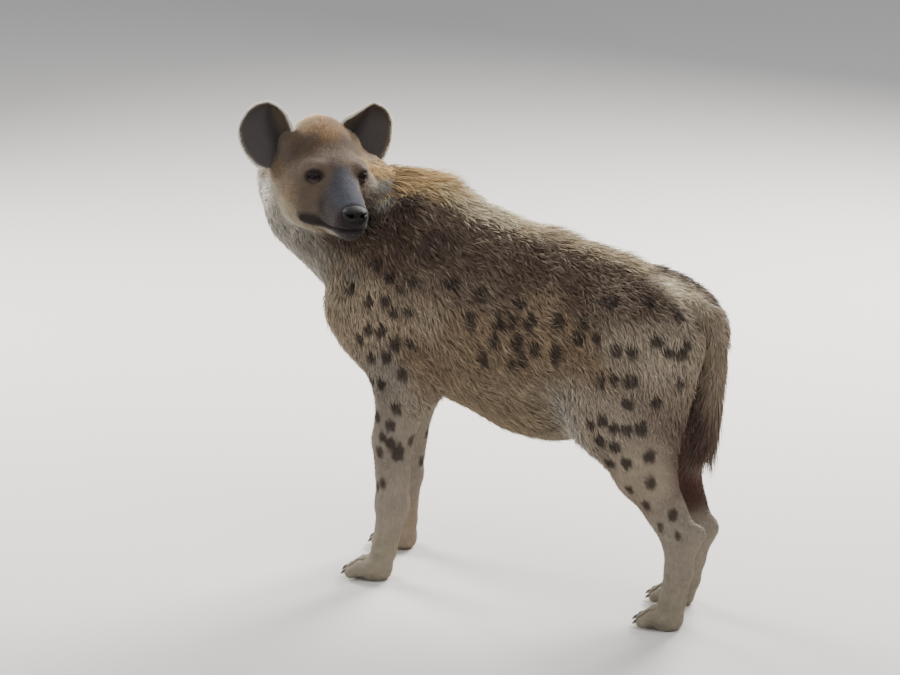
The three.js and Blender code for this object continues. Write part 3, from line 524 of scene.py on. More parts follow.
def leg_coat(leg):
    """The coat down one leg: at each joint, outside and inside, ever shorter towards the toes."""
    rows = []
    if "elbow" in leg:
        joints = [
            ("shoulder", 52, (-0.3, 0, -1), 20, 5.5, "shoulder"),
            ("elbow", 46, (-0.25, 0, -1), 14, 4, "leg"),
            ("forearm", 34, (-0.1, 0, -1), 9, 2.6, "leg"),
            ("wrist", 30, (0, 0, -1), 7, 1.8, "leg"),
            ("knuckle", 26, (0.4, 0, -1), 6, 1.4, "foot"),
            ("paw", 28, (1, 0, -0.5), 5, 1.2, "foot"),
        ]
    else:
        joints = [
            ("hip", 74, (-0.55, 0, -1), 22, 6.5, "haunch"),
            ("seat", 50, (-0.3, 0, -1), 20, 6, "haunch"),
            ("knee", 50, (-0.55, 0, -1), 15, 4.5, "haunch"),
            ("calf", 40, (-0.6, 0, -1), 10, 3, "haunch"),
            ("hock", 26, (-0.1, 0, -1), 7, 1.8, "leg"),
            ("shin", 26, (0.1, 0, -1), 6, 1.5, "leg"),
            ("knuckle", 26, (0.4, 0, -1), 6, 1.4, "foot"),
            ("paw", 26, (1, 0, -0.5), 5, 1.2, "foot"),
        ]
    for joint, out, lie, length, depth, colour in joints:
        x, y, z = leg[joint]
        lift = 20 if joint == "paw" else 0
        rows.append(((x, y + leg["side"] * out, z + lift), lie, length, depth, colour))
        # Inside rows: the haunch turns to the inner thigh's reddish brown with painted shade, the shoulder to
        # the throat's
        inner = {"haunch": "inner", "shoulder": "throat"}.get(colour, colour)
        if joint not in ("hip", "shoulder", "seat"):
            rows.append(((x, y - leg["side"] * out * 0.8, z + lift), lie, length, depth, inner))
        # A patch of painted shade with the reddish brown on the far hind leg's inner thigh
        if joint == "calf" and leg is HINDLEG_RIGHT:
            low = mix(vec(*leg["calf"]), vec(*leg["hock"]), 0.45) - vec(20, leg["side"] * 22, 0)
            rows.append((tuple(low), lie, length, depth, "inner"))
    return rows


# Guides of the head, in its own axes and for both sides
HEAD_COAT = [
    # The bridge: dark muzzle, its blue tint a painted reflection
    ((178, 0, -22), (-1, 0, 0.1), 2.6, 0.8, "muzzle"),
    ((150, 0, -12), (-1, 0, 0.25), 3, 0.8, "muzzle"),
    ((118, 0, 14), (-1, 0, 0.4), 4, 1.0, "muzzle"),
    ((84, 0, 42), (-1, 0, 0.5), 5, 1.2, "brow"),
    ((172, 30, -52), (-1, 0.1, -0.1), 3, 0.8, "chin"),
    ((130, 38, -36), (-1, 0.1, -0.2), 4, 1.0, "chin"),
    ((140, 36, -62), (-1, 0.1, -0.2), 4, 1.0, "chin"),
    ((175, 0, -88), (-1, 0, -0.1), 4, 1.0, "chin"),
    ((168, 20, -84), (-1, 0, -0.1), 4, 1.0, "chin"),
    ((130, 30, -84), (-1, 0, -0.2), 5, 1.4, "jaw"),
    ((120, 0, -98), (-1, 0, -0.2), 7, 2.0, "throat"),
    ((56, 0, 66), (-0.8, 0, 0.6), 6, 1.5, "brow"),
    ((36, 36, 76), (-0.8, 0, 0.6), 6, 1.5, "brow"),
    ((30, 0, 92), (-0.9, 0, 0.5), 7, 1.8, "crown"),
    ((78, 42, 44), (-0.9, 0.2, 0.4), 4, 1.0, "face"),
    ((100, 30, 16), (-1, 0.2, 0.2), 3, 0.9, "face"),
    ((96, 54, -10), (-1, 0.2, -0.1), 4, 1.1, "face"),
    ((60, 74, 4), (-1, 0.2, 0), 5, 1.4, "face"),
    ((80, 56, -44), (-1, 0.1, -0.3), 5, 1.4, "face"),
    ((46, 82, -20), (-1, 0.1, -0.3), 7, 2.0, "cheek"),
    ((14, 92, -20), (-1, 0.1, -0.35), 10, 2.8, "cheek"),
    ((66, 58, -62), (-1, 0.1, -0.35), 6, 1.6, "jaw"),
    ((50, 66, -74), (-0.9, 0, -0.4), 8, 2.4, "jaw"),
    ((20, 84, -54), (-0.9, 0, -0.4), 11, 3.2, "jaw"),
    ((10, 70, -84), (-0.9, 0, -0.5), 13, 4, "throat"),
    ((0, 0, 118), (-1, 0, 0.1), 10, 2.4, "crown"),
    ((-60, 0, 112), (-1, 0, -0.2), 18, 4, "golden"),
    ((10, 62, 66), (-0.7, 0.3, 0.6), 6, 1.5, "brow"),
    ((-10, 40, 104), (-0.8, 0.2, 0.4), 8, 2.2, "crown"),
    ((-12, 70, 88), (-0.6, 0.4, 0.6), 6, 1.5, "brow"),
    ((-34, 56, 104), (-0.7, 0.3, 0.4), 9, 2.2, "jaw"),
    ((-16, 90, 50), (-0.8, 0.3, 0.3), 7, 1.8, "face"),
    ((-48, 92, 60), (-0.9, 0.2, 0.1), 9, 2.2, "face"),
    ((-72, 56, 84), (-1, 0.1, -0.2), 15, 3.5, "golden"),
    ((-90, 0, 70), (-1, 0, -0.4), 22, 4, "golden"),
    ((-76, 84, 20), (-1, 0.1, -0.4), 13, 4, "cheek"),
    ((-46, 98, -30), (-0.85, 0.2, -0.5), 21, 6, "ruff"),
    ((-30, 88, 12), (-0.9, 0.1, -0.2), 10, 3, "cheek"),
    ((-20, 40, -110), (-0.7, 0, -0.7), 20, 5, "throat"),
]
# Guides of the trunk, neck and tail: those with Y over 30 count for both sides
BODY_COAT = [
    ((385, 20, 868), (-1, 0, -0.2), 18, 3.5, "golden"),
    ((300, 15, 830), (-1, 0, -0.25), 20, 4, "golden"),
    ((220, 0, 792), (-1, 0, -0.2), 36, 4, "golden"),
    ((120, 0, 782), (-1, 0, -0.1), 38, 4, "cream"),
    ((0, 0, 750), (-1, 0, -0.1), 36, 4.5, "cream"),
    ((-150, 0, 728), (-1, 0, -0.1), 34, 5, "cream"),
    ((-300, 0, 698), (-1, 0, -0.25), 30, 6, "cream"),
    ((-400, 0, 640), (-0.6, 0, -1), 26, 6, "cream"),
    ((60, 64, 742), (-1, 0.2, -0.4), 36, 7, "back"),
    ((-60, 70, 724), (-1, 0.2, -0.4), 35, 8, "back"),
    ((-200, 66, 704), (-1, 0.15, -0.4), 34, 8, "back"),
    ((-330, 56, 676), (-1, 0.1, -0.5), 30, 8, "back"),
    ((-390, 66, 636), (-0.8, 0.1, -0.8), 26, 7, "band"),
    ((-40, 112, 690), (-0.9, 0.1, -0.6), 34, 9, "band"),
    ((-150, 110, 676), (-0.9, 0.1, -0.6), 33, 9, "band"),
    ((-260, 104, 650), (-0.9, 0, -0.6), 31, 8, "band"),
    ((-340, 104, 630), (-0.8, 0, -0.8), 27, 8, "back"),
    ((-60, 136, 636), (-0.9, 0, -0.65), 32, 9, "back"),
    ((-200, 132, 610), (-0.9, 0, -0.6), 30, 9, "flank"),
    ((-40, 148, 540), (-0.85, 0, -0.7), 30, 9, "flank"),
    ((-180, 146, 520), (-0.9, 0, -0.55), 29, 9, "flank"),
    ((-280, 130, 540), (-0.8, 0, -0.7), 26, 8, "flank"),
    ((-60, 126, 420), (-1, 0, -0.4), 27, 8, "belly"),
    ((-190, 120, 400), (-1, 0, -0.15), 26, 8, "belly"),
    ((-275, 104, 430), (-0.4, 0, -0.9), 26, 7, "haunch"),
    ((-240, 112, 400), (-0.3, 0, -1), 28, 7, "throat"),
    ((-100, 0, 320), (-1, 0, 0), 24, 6, "belly"),
    ((40, 0, 345), (-1, 0, 0), 22, 6, "belly"),
    ((60, 140, 630), (-0.7, 0, -0.8), 30, 8, "back"),
    ((60, 146, 560), (-0.6, 0, -0.8), 28, 8, "shoulder"),
    ((60, 140, 470), (-0.7, 0, -0.6), 26, 7, "flank"),
    ((50, 116, 700), (-0.8, 0.1, -0.6), 34, 8, "dark"),
    ((120, 112, 715), (-0.8, 0.1, -0.6), 34, 8, "dark"),
    ((200, 100, 735), (-0.8, 0.1, -0.6), 34, 8, "dark"),
    ((150, 126, 650), (-0.5, 0, -0.9), 28, 7, "band"),
    ((170, 130, 590), (-0.35, 0, -0.9), 26, 7, "shoulder"),
    ((250, 96, 700), (-0.5, 0, -0.8), 26, 7, "band"),
    ((300, 84, 770), (-0.75, 0.1, -0.5), 28, 7, "golden"),
    ((345, 100, 730), (-0.75, 0.1, -0.6), 22, 6, "throat"),
    ((250, 108, 610), (-0.4, 0, -0.9), 28, 8, "shoulder"),
    ((320, 60, 620), (-0.25, 0, -1), 20, 6, "throat"),
    ((310, 0, 560), (-0.2, 0, -1), 22, 6, "throat"),
    ((290, 0, 460), (-0.4, 0, -1), 20, 6, "throat"),
    ((440, 0, 700), (-0.2, -0.2, -1), 22, 6, "ruff"),
    ((480, 10, 780), (-0.3, -0.5, -0.9), 24, 7, "ruff"),
    ((430, 60, 660), (-0.4, 0, -1), 20, 5, "throat"),
    ((-425, 40, 560), (-0.3, 0.1, -1), 22, 6, "haunch"),
    # Painted shade with a reddish brown between the hind legs, under the tail
    ((-400, 10, 480), (0, 0, -1), 12, 5, "inner"),
    ((-478, 0, 560), (0, 0, -1), 20, 5, "tail"),
    ((-478, 0, 470), (0, 0, -1), 30, 4, "tail"),
    ((-478, 0, 400), (0, 0, -1), 30, 4, "brush"),
]
# Small patches on neck and withers: the left side by the turned head, with painted shade of the head on the
# neck, and the tan right side
NECK_COAT = [
    ((221, 42, 810), (-0.8, 0.1, -0.4), 16, 4, "golden"),
    ((199, 59, 790), (-0.7, 0.1, -0.6), 18, 4, "throat"),
    ((180, 91, 760), (-0.6, 0.1, -0.8), 18, 4, "throat"),
    ((129, 30, 793), (-1, 0.1, -0.2), 34, 5, "golden"),
    ((78, 40, 781), (-1, 0.1, -0.3), 34, 5, "golden"),
    ((139, 106, 748), (-0.7, 0.1, -0.7), 30, 7, "dark"),
    ((110, 99, 760), (-0.8, 0.1, -0.6), 32, 7, "dark"),
    # Painted shade of the head on the left side of the neck
    ((352, 114, 673), (-0.5, 0, -0.9), 18, 5, "painted_neck_shade"),
    ((326, 110, 656), (-0.5, 0, -0.9), 18, 5, "painted_neck_shade"),
    ((269, 117, 648), (-0.5, 0, -0.9), 20, 6, "painted_neck_shade"),
    ((228, 129, 623), (-0.4, 0, -0.9), 24, 7, "painted_neck_shade"),
    ((385, -75, 790), (-0.6, -0.1, -0.6), 22, 6, "shoulder"),
    ((430, -50, 740), (-0.5, 0, -0.8), 22, 6, "shoulder"),
    ((360, -95, 700), (-0.5, 0, -0.8), 22, 6, "shoulder"),
]
# How far the guides of each part count
BODY_REACH = 60
NAPE_REACH = 38
CREST_REACH = 32
NECK_REACH = 26
LEG_REACH = 50
HEAD_REACH = 28


class Coat:
    """The coat's guide places as arrays, and the values between them."""

    def __init__(self):
        colours = palette()
        rows = []
        for (x, y, z), lie, length, depth, colour in BODY_COAT:
            crest = y == 0 and z > 680 and x < 240
            reach = CREST_REACH if crest else NAPE_REACH if z > 800 else BODY_REACH
            rows.append(((x, y, z), lie, length, depth, colours[colour], reach))
            if y > 30 and x < 400:
                rows.append(((x, -y, z), (lie[0], -lie[1], lie[2]), length, depth, colours[colour], reach))
        for place, lie, length, depth, colour in NECK_COAT:
            rows.append((place, lie, length, depth, colours[colour], NECK_REACH))
        for leg in LEGS:
            for place, lie, length, depth, colour in leg_coat(leg):
                shade = "tail" if leg is FORELEG_RIGHT and colour == "foot" else colour
                rows.append((place, lie, length, depth, colours[shade], LEG_REACH))
        for (f, l, u), lie, length, depth, colour in HEAD_COAT:
            for side in (1, -1) if l else (1,):
                place = on_head(f, side * l, u)
                way = HEAD_TURN @ vec(lie[0], side * lie[1], lie[2])
                rows.append((place, way, length, depth, colours[colour], HEAD_REACH))
        self.places = np.array([row[0] for row in rows], float)
        self.values = np.array([[*unit(row[1]), row[2], row[3], *row[4]] for row in rows], float)
        self.reach = np.array([row[5] for row in rows], float)

    def at(self, points):
        """Values at places: the mean of the guides, each weighed by (1 + (distance / reach)^2)^-4."""
        made = np.zeros((len(points), self.values.shape[1]))
        whole = np.zeros(len(points))
        for place, value, reach in zip(self.places, self.values, self.reach):
            weight = (1 + ((points - place) ** 2).sum(1) / reach**2) ** -4.0
            made += weight[:, None] * value
            whole += weight
        return made / whole[:, None]


# The camera, and spots read off the photograph

VIEW_SIDE = math.radians(30)
VIEW_DOWN = math.radians(16)
VIEW_DISTANCE = 6250
VIEW_FOCUS = 3200
VIEW_WIDTH = 900
VIEW_MIDDLE = (450, 337.5)
SENSOR_WIDTH = 36
VIEW_AIM = ((0, 0, 405), (485, 383))
LOOK = vec(
    math.sin(VIEW_SIDE) * math.cos(VIEW_DOWN),
    -math.cos(VIEW_SIDE) * math.cos(VIEW_DOWN),
    -math.sin(VIEW_DOWN),
)
VIEW_RIGHT = vec(-math.cos(VIEW_SIDE), -math.sin(VIEW_SIDE), 0)
VIEW_UP = np.cross(VIEW_RIGHT, LOOK)


def eye_point():
    """Where the camera stands: the aimed place comes to its own place in the picture."""
    place, (across, down) = VIEW_AIM
    scale = VIEW_DISTANCE / VIEW_FOCUS
    shift = VIEW_RIGHT * (VIEW_MIDDLE[0] - across) + VIEW_UP * (down - VIEW_MIDDLE[1])
    return vec(*place) + shift * scale - LOOK * VIEW_DISTANCE


def sight_lines(pixels):
    """The way of the sight line through each place of the picture."""
    across = (pixels[:, 0] - VIEW_MIDDLE[0])[:, None] * VIEW_RIGHT
    down = (pixels[:, 1] - VIEW_MIDDLE[1])[:, None] * VIEW_UP
    return LOOK * VIEW_FOCUS + across - down


def in_picture(points):
    """Across and down in the picture of places of the body."""
    off = points - eye_point()
    deep = off @ LOOK
    return np.stack([
        VIEW_MIDDLE[0] + VIEW_FOCUS * (off @ VIEW_RIGHT) / deep,
        VIEW_MIDDLE[1] - VIEW_FOCUS * (off @ VIEW_UP) / deep,
    ], 1)


# Across and down in the picture, and half the width and height of each spot
SPOTS_OF_THE_FOREQUARTER = [
    (368, 302, 5, 5), (385, 302, 5, 6), (394, 314, 5, 5), (408, 314, 5, 5), (369, 331, 5, 5),
    (381, 333, 5, 5), (360, 341, 4, 5), (395, 345, 5, 6), (410, 345, 5, 5), (371, 359, 5, 5),
    (386, 359, 5, 6), (402, 375, 5, 6), (371, 382, 4, 5), (381, 385, 5, 5), (396, 410, 5, 6),
    (376, 417, 5, 5), (390, 426, 5, 5), (382, 437, 4, 5), (390, 444, 5, 5), (413, 441, 5, 6),
    (398, 453, 6, 8), (379, 453, 4, 5), (382, 484, 4, 5), (377, 487, 3, 4), (350, 290, 5, 5),
    (376, 266, 5, 5), (389, 278, 5, 5), (413, 282, 6, 5), (401, 290, 5, 5),
]
SPOTS_OF_THE_FLANK = [
    (451, 284, 6, 6), (479, 295, 5, 8), (469, 321, 5, 8), (499, 323, 5, 8), (512, 321, 5, 8),
    (530, 323, 5, 8), (519, 304, 5, 7), (558, 321, 5, 7), (583, 323, 5, 7), (578, 339, 5, 7),
    (493, 341, 4, 8), (517, 344, 5, 9), (534, 352, 5, 8), (556, 354, 5, 8), (521, 360, 5, 8),
    (512, 365, 4, 7), (483, 362, 5, 8),
]
SPOTS_OF_THE_HAUNCH = [
    (610, 302, 7, 5), (651, 302, 5, 5), (680, 317, 5, 5), (699, 326, 4, 5), (710, 341, 4, 5),
    (657, 343, 5, 5), (669, 354, 5, 5), (681, 355, 5, 5), (688, 347, 4, 4), (596, 338, 5, 5),
    (617, 352, 5, 5), (632, 354, 5, 5), (600, 382, 5, 5), (614, 380, 5, 5), (631, 382, 6, 6),
    (628, 405, 5, 5), (657, 404, 5, 5), (680, 387, 4, 5), (602, 422, 5, 5), (614, 430, 5, 5),
    (627, 431, 5, 5), (641, 430, 5, 6), (590, 426, 4, 5), (600, 442, 5, 5), (615, 448, 5, 5),
    (610, 465, 5, 5), (626, 464, 5, 5), (650, 457, 5, 6), (651, 484, 4, 6), (629, 491, 4, 5),
    (646, 507, 4, 5), (673, 515, 4, 5), (660, 528, 3, 5), (678, 536, 2, 5),
]
# Where the walk along a sight line begins, and its number of steps
WALK_START = 5300
WALK_STEPS = 90


def spots(distance):
    """Middle and half size of every spot: its sight line walked onto the body, on both of its sides."""
    rows = np.array(SPOTS_OF_THE_FOREQUARTER + SPOTS_OF_THE_FLANK + SPOTS_OF_THE_HAUNCH, float)
    way = unit(sight_lines(rows))
    found = []
    rng = np.random.default_rng(31)
    for side in (1, -1):
        mirror = vec(1, side, 1)
        start = eye_point() * mirror
        heading = way * mirror
        if side < 0:
            heading = unit(heading + rng.normal(size=heading.shape) * 0.0016)
        at = start + heading * WALK_START
        for _ in range(WALK_STEPS):
            at = at + heading * np.clip(distance(at), -5, 60)[:, None] * 0.8
        hit = np.abs(distance(at)) < 2
        found.append(np.hstack([at, rows[:, 2:4] * VIEW_DISTANCE / VIEW_FOCUS])[hit])
    return np.vstack(found)


# Meshes from arrays

def home():
    """Where the body's origin lies in the row frame: the left eyeball's box has the eye as its middle."""
    low, high = (np.array(corner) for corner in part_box("eye_left"))
    return (low + high) / 2 - on_head(*eye_at(1)[0]) / 1000


HOME = home()


def mesh_object(name, points, faces, material, colours=None, uv=None):
    """A smooth mesh object from arrays of points, in millimetres, and of faces of three or four corners."""
    faces = np.asarray(faces)
    corners = faces.shape[1]
    mesh = bpy.data.meshes.new(name)
    mesh.vertices.add(len(points))
    mesh.vertices.foreach_set("co", (points / 1000 + HOME).astype(np.float32).ravel())
    mesh.loops.add(faces.size)
    mesh.loops.foreach_set("vertex_index", faces.astype(np.int32).ravel())
    mesh.polygons.add(len(faces))
    mesh.polygons.foreach_set("loop_start", np.arange(len(faces), dtype=np.int32) * corners)
    mesh.polygons.foreach_set("use_smooth", np.full(len(faces), True))
    if uv is not None:
        layer = mesh.uv_layers.new(name="OFBake")
        layer.uv.foreach_set("vector", uv[faces.ravel()].astype(np.float32).ravel())
    if colours is not None:
        shade = mesh.attributes.new("shade", "FLOAT_COLOR", "POINT")
        rgba = np.hstack([colours, np.ones((len(points), 1))])
        shade.data.foreach_set("color", rgba.astype(np.float32).ravel())
    mesh.update(calc_edges=True)
    mesh.validate()
    mesh.materials.append(material)
    made = bpy.data.objects.new(name, mesh)
    bpy.context.scene.collection.objects.link(made)
    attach(made, "root")
    return made


def surface_net(distance, low, high, cell):
    """The zero surface of a distance: in each cell that it crosses, the mean of its edges' crossings."""
    low, high = np.array(low, float), np.array(high, float)
    counts = np.ceil((high - low) / cell).astype(int) + 1
    axes = [low[i] + cell * np.arange(counts[i]) for i in range(3)]
    grid = np.stack(np.meshgrid(*axes, indexing="ij"), -1).reshape(-1, 3)
    values = distance(grid).reshape(counts)
    cells = tuple(counts - 1)
    total = np.zeros((np.prod(cells), 3))
    number = np.zeros(np.prod(cells))
    quads = []
    for axis in range(3):
        before = np.delete(values, -1, axis)
        after = np.delete(values, 0, axis)
        crossed = (before < 0) != (after < 0)
        index = np.argwhere(crossed)
        place = index.astype(float)
        place[:, axis] += before[crossed] / (before[crossed] - after[crossed])
        b, c = (axis + 1) % 3, (axis + 2) % 3
        around = []
        for step_b, step_c in ((0, 0), (-1, 0), (-1, -1), (0, -1)):
            corner = index.copy()
            corner[:, b] += step_b
            corner[:, c] += step_c
            flat = np.ravel_multi_index(corner.T, cells)
            for i in range(3):
                total[:, i] += np.bincount(flat, place[:, i], len(number))
            number += np.bincount(flat, minlength=len(number))
            around.append(flat)
        quad = np.stack(around, 1)
        backwards = before[crossed] >= 0
        quad[backwards] = quad[backwards][:, ::-1]
        quads.append(quad)
    used = number > 0
    numbering = np.cumsum(used) - 1
    points = total[used] / number[used, None] * cell + low
    quads = numbering[np.vstack(quads)]
    return points, halved(quads)


def refined(points, triangles, chosen):
    """Chosen triangles are parted in four at the middles of their edges, and neighbours to match."""
    ends = np.sort(triangles[:, [[0, 1], [1, 2], [2, 0]]], axis=2)
    keys = ends[..., 0] * len(points) + ends[..., 1]
    parted = np.unique(keys[chosen])
    middles = (points[parted // len(points)] + points[parted % len(points)]) / 2
    spot = np.minimum(np.searchsorted(parted, keys), len(parted) - 1)
    cut = parted[spot] == keys
    middle = spot + len(points)
    number = cut.sum(1)
    made = [triangles[number == 0]]
    order = np.arange(3)
    for wanted in (1, 2):
        rows = np.flatnonzero(number == wanted)
        first = np.argmax(cut[rows] if wanted == 1 else ~cut[rows], axis=1)
        turned = (first[:, None] + order + (wanted - 1)) % 3
        v0, v1, v2 = np.take_along_axis(triangles[rows], turned, 1).T
        m0, m1, _ = np.take_along_axis(middle[rows], turned, 1).T
        if wanted == 1:
            made += [np.stack([v0, m0, v2], 1), np.stack([m0, v1, v2], 1)]
        else:
            made += [np.stack([m0, v1, m1], 1), np.stack([v0, m0, m1], 1), np.stack([v0, m1, v2], 1)]
    v0, v1, v2 = triangles[number == 3].T
    m0, m1, m2 = middle[number == 3].T
    made += [np.stack(t, 1) for t in ((v0, m0, m2), (m0, v1, m1), (m2, m1, v2), (m0, m1, m2))]
    return np.vstack([points, middles]), np.vstack(made)


def relaxed(points, triangles, rounds=2, pull=0.5):
    """Each place is drawn towards the mean of its neighbours."""
    edges = np.vstack([triangles[:, [0, 1]], triangles[:, [1, 2]], triangles[:, [2, 0]]])
    ends = np.unique(np.sort(edges, 1), axis=0)
    for _ in range(rounds):
        total = np.zeros_like(points)
        number = np.zeros(len(points))
        for a, b in (ends.T, ends.T[::-1]):
            for i in range(3):
                total[:, i] += np.bincount(a, points[b, i], len(points))
            number += np.bincount(a, minlength=len(points))
        points = points + (total / np.maximum(number, 1)[:, None] - points) * pull
    return points


def settled(points, distance, rounds=2):
    """Places moved along the gradient of the body's own field until the distance is zero."""
    for _ in range(rounds):
        gradient = slope(STATE["body"], points)
        steep = np.maximum((gradient**2).sum(1), 0.1)
        points = points - gradient * (distance(points) / steep)[:, None]
    return points


def normals_of(points, triangles):
    """The normal at each place: the sum of its triangles' own, by area."""
    a, b, c = points[triangles].transpose(1, 0, 2)
    face = np.cross(b - a, c - a)
    total = np.zeros_like(points)
    for corner in triangles.T:
        for i in range(3):
            total[:, i] += np.bincount(corner, face[:, i], len(points))
    return unit(total)


def grid_faces(rows, columns, closed=True):
    """Faces of a grid of rows by columns, closed round the columns where asked."""
    r, c = np.meshgrid(np.arange(rows - 1), np.arange(columns if closed else columns - 1), indexing="ij")
    c = c.ravel()
    low = r.ravel() * columns
    high = low + columns
    beside = (c + 1) % columns
    return np.stack([low + c, low + beside, high + beside, high + c], 1)


# Materials

class Socket:
    """A shader value: operators on it add Math nodes."""

    def __init__(self, shader, link):
        self.shader = shader
        self.link = link

    def _maths(self, operation, *values):
        return self.shader.node("ShaderNodeMath", {"operation": operation}, dict(enumerate(values)))

    def __add__(self, other):
        return self._maths("ADD", self, other)

    def __radd__(self, other):
        return self._maths("ADD", other, self)

    def __mul__(self, other):
        return self._maths("MULTIPLY", self, other)


class Shader:
    """A material's nodes: one method adds any of them, with its settings first and then its sockets."""

    def __init__(self, name):
        self.material = bpy.data.materials.new(name)
        self.material.use_nodes = True
        self.tree = self.material.node_tree
        self.surface = self.tree.nodes["Principled BSDF"]

    def node(self, kind, settings=None, sockets=None, out=0):
        """A node, with its colour stops and other settings, and what its sockets take."""
        made = self.tree.nodes.new(kind)
        for key, value in (settings or {}).items():
            if key == "stops":
                ramp = made.color_ramp
                while len(ramp.elements) < len(value):
                    ramp.elements.new(0.5)
                for element, (place, colour) in zip(ramp.elements, value):
                    element.position = place
                    element.color = (*colour, 1)
            else:
                setattr(made, key, value)
        for key, value in (sockets or {}).items():
            self.plug(made.inputs[key], value)
        return Socket(self, made.outputs[out])

    def plug(self, socket, value):
        """Links a shader value to a socket, or puts a constant on it."""
        if isinstance(value, Socket):
            self.tree.links.new(value.link, socket)
        elif socket.type == "RGBA" and len(value) == 3:
            socket.default_value = (*value, 1)
        else:
            socket.default_value = value

    def set(self, **values):
        """Fills sockets of the surface by their names."""
        for name, value in values.items():
            label = name.replace("_", " ").title().replace("Ior", "IOR")
            self.plug(self.surface.inputs[label], value)
        return self

    def places(self, stretch=(1, 1, 1)):
        """Object coordinates, stretched along each axis."""
        where = self.node("ShaderNodeTexCoord", out="Object")
        return self.node("ShaderNodeMapping", {}, {"Vector": where, "Scale": stretch})

    def noise(self, scale, detail=3, stretch=(1, 1, 1)):
        """Noise of a scale to the metre."""
        sockets = {"Vector": self.places(stretch), "Scale": scale, "Detail": detail, "Roughness": 0.55}
        return self.node("ShaderNodeTexNoise", {}, sockets)

    def shade(self, base, factor):
        """A colour made lighter or darker by a factor."""
        grey = self.node("ShaderNodeCombineColor", {}, {0: factor, 1: factor, 2: factor})
        settings = {"data_type": "RGBA", "blend_type": "MULTIPLY"}
        return self.node("ShaderNodeMix", settings, {0: 1.0, 6: base, 7: grey}, out=2)

    def between(self, a, b, share):
        """From colour a at share 0 to colour b at share 1."""
        return self.node("ShaderNodeMix", {"data_type": "RGBA"}, {0: share, 6: a, 7: b}, out=2)

    def attribute(self, name):
        """A colour that the mesh carries."""
        return self.node("ShaderNodeAttribute", {"attribute_name": name}, {}, out="Color")

    def bump(self, height, distance):
        """A bump of a height, as deep as a distance in metres."""
        made = self.node("ShaderNodeBump", {}, {"Height": height, "Distance": distance, "Strength": 1.0})
        self.plug(self.surface.inputs["Normal"], made)
        return self


def skin_material():
    """The skin under the coat: its markings and painted shade, darker, with a fine nap of hair in its bump.
    """
    s = Shader("short_coat")
    nap = s.noise(900, 3) * 0.6 + s.noise(260, 2) * 0.4
    s.set(base_color=s.shade(s.attribute("shade"), 0.7 + nap * 0.5), roughness=0.8, specular_ior_level=0.15)
    return s.bump(nap, 0.0012).material


def hair_material():
    """Hair: the colour that each tuft brings, with a soft sheen."""
    s = Shader("hair")
    s.set(base_color=s.attribute("shade"), roughness=0.68, specular_ior_level=0.2)
    s.set(sheen_weight=0.08, sheen_roughness=0.5)
    return s.material


def eye_material(side):
    """An eyeball: black pupil, brown iris, dark rim and a brown white, from the angle off its axis."""
    colours = palette()
    s = Shader("eye_left" if side > 0 else "eye_right")
    off = s.attribute("shade")
    ramp = s.node(
        "ShaderNodeValToRGB",
        {"stops": [
            (0.0, (0.004, 0.003, 0.003)),
            (0.17, (0.004, 0.003, 0.003)),
            (0.2, tuple(colours["iris"] * 0.4)),
            (0.36, tuple(colours["iris"] * 0.8)),
            (0.5, tuple(colours["iris"] * 0.5)),
            (0.56, (0.008, 0.006, 0.005)),
            (0.8, (0.02, 0.014, 0.012)),
        ]},
        {"Fac": s.node("ShaderNodeSeparateColor", {}, {0: off})},
    )
    s.set(base_color=ramp, roughness=0.1, specular_ior_level=0.15)
    return s.material


def lid_material():
    """Lids: bare black rims that turn to the colour of the face, finely creased."""
    s = Shader("lids")
    creases = s.noise(700, 3)
    s.set(base_color=s.shade(s.attribute("shade"), 0.8 + creases * 0.4))
    s.set(roughness=0.5, specular_ior_level=0.3)
    return s.bump(creases, 0.0006).material


def nose_material():
    """Bare dark skin: a cobbled bump, with a wet gloss."""
    s = Shader("nose")
    cobbles = s.node("ShaderNodeTexVoronoi", {"feature": "F1"}, {"Vector": s.places(), "Scale": 900})
    mottle = s.noise(240, 3)
    s.set(base_color=s.shade(tuple(palette()["nose"]), 0.7 + mottle * 0.7), roughness=0.42 + mottle * 0.2)
    s.set(specular_ior_level=0.25)
    return s.bump(cobbles, 0.0005).material


def claw_material():
    """Horn of the claws: dark at the root, paler and worn towards the tip, with fine lines along it."""
    s = Shader("claw")
    horn = palette()["claw"]
    lines = s.noise(420, 3, (0.25, 1, 1))
    base = s.between(tuple(horn * 0.6), tuple(horn * 2.2), s.attribute("shade"))
    s.set(base_color=s.shade(base, 0.75 + lines * 0.5), roughness=0.42)
    return s.bump(lines, 0.0003).material


# Shared state that the operators pass on

STATE = {}

# Marks on both sides of the face: place, half sizes, colour, where the edge ends and begins, and strength
FACE_MARKS = [
    ((32, 84, -16), (7, 24, 15), "dark", (1.2, 0.5), 0.8),
    ((92, 18, 26), (26, 8, 30), "dark", (1.1, 0.4), 0.3),
    ((-30, 58, 104), (16, 11, 12), "ruff", (1.2, 0.6), 0.7),
]
SPOT_GROWTH = 1.3


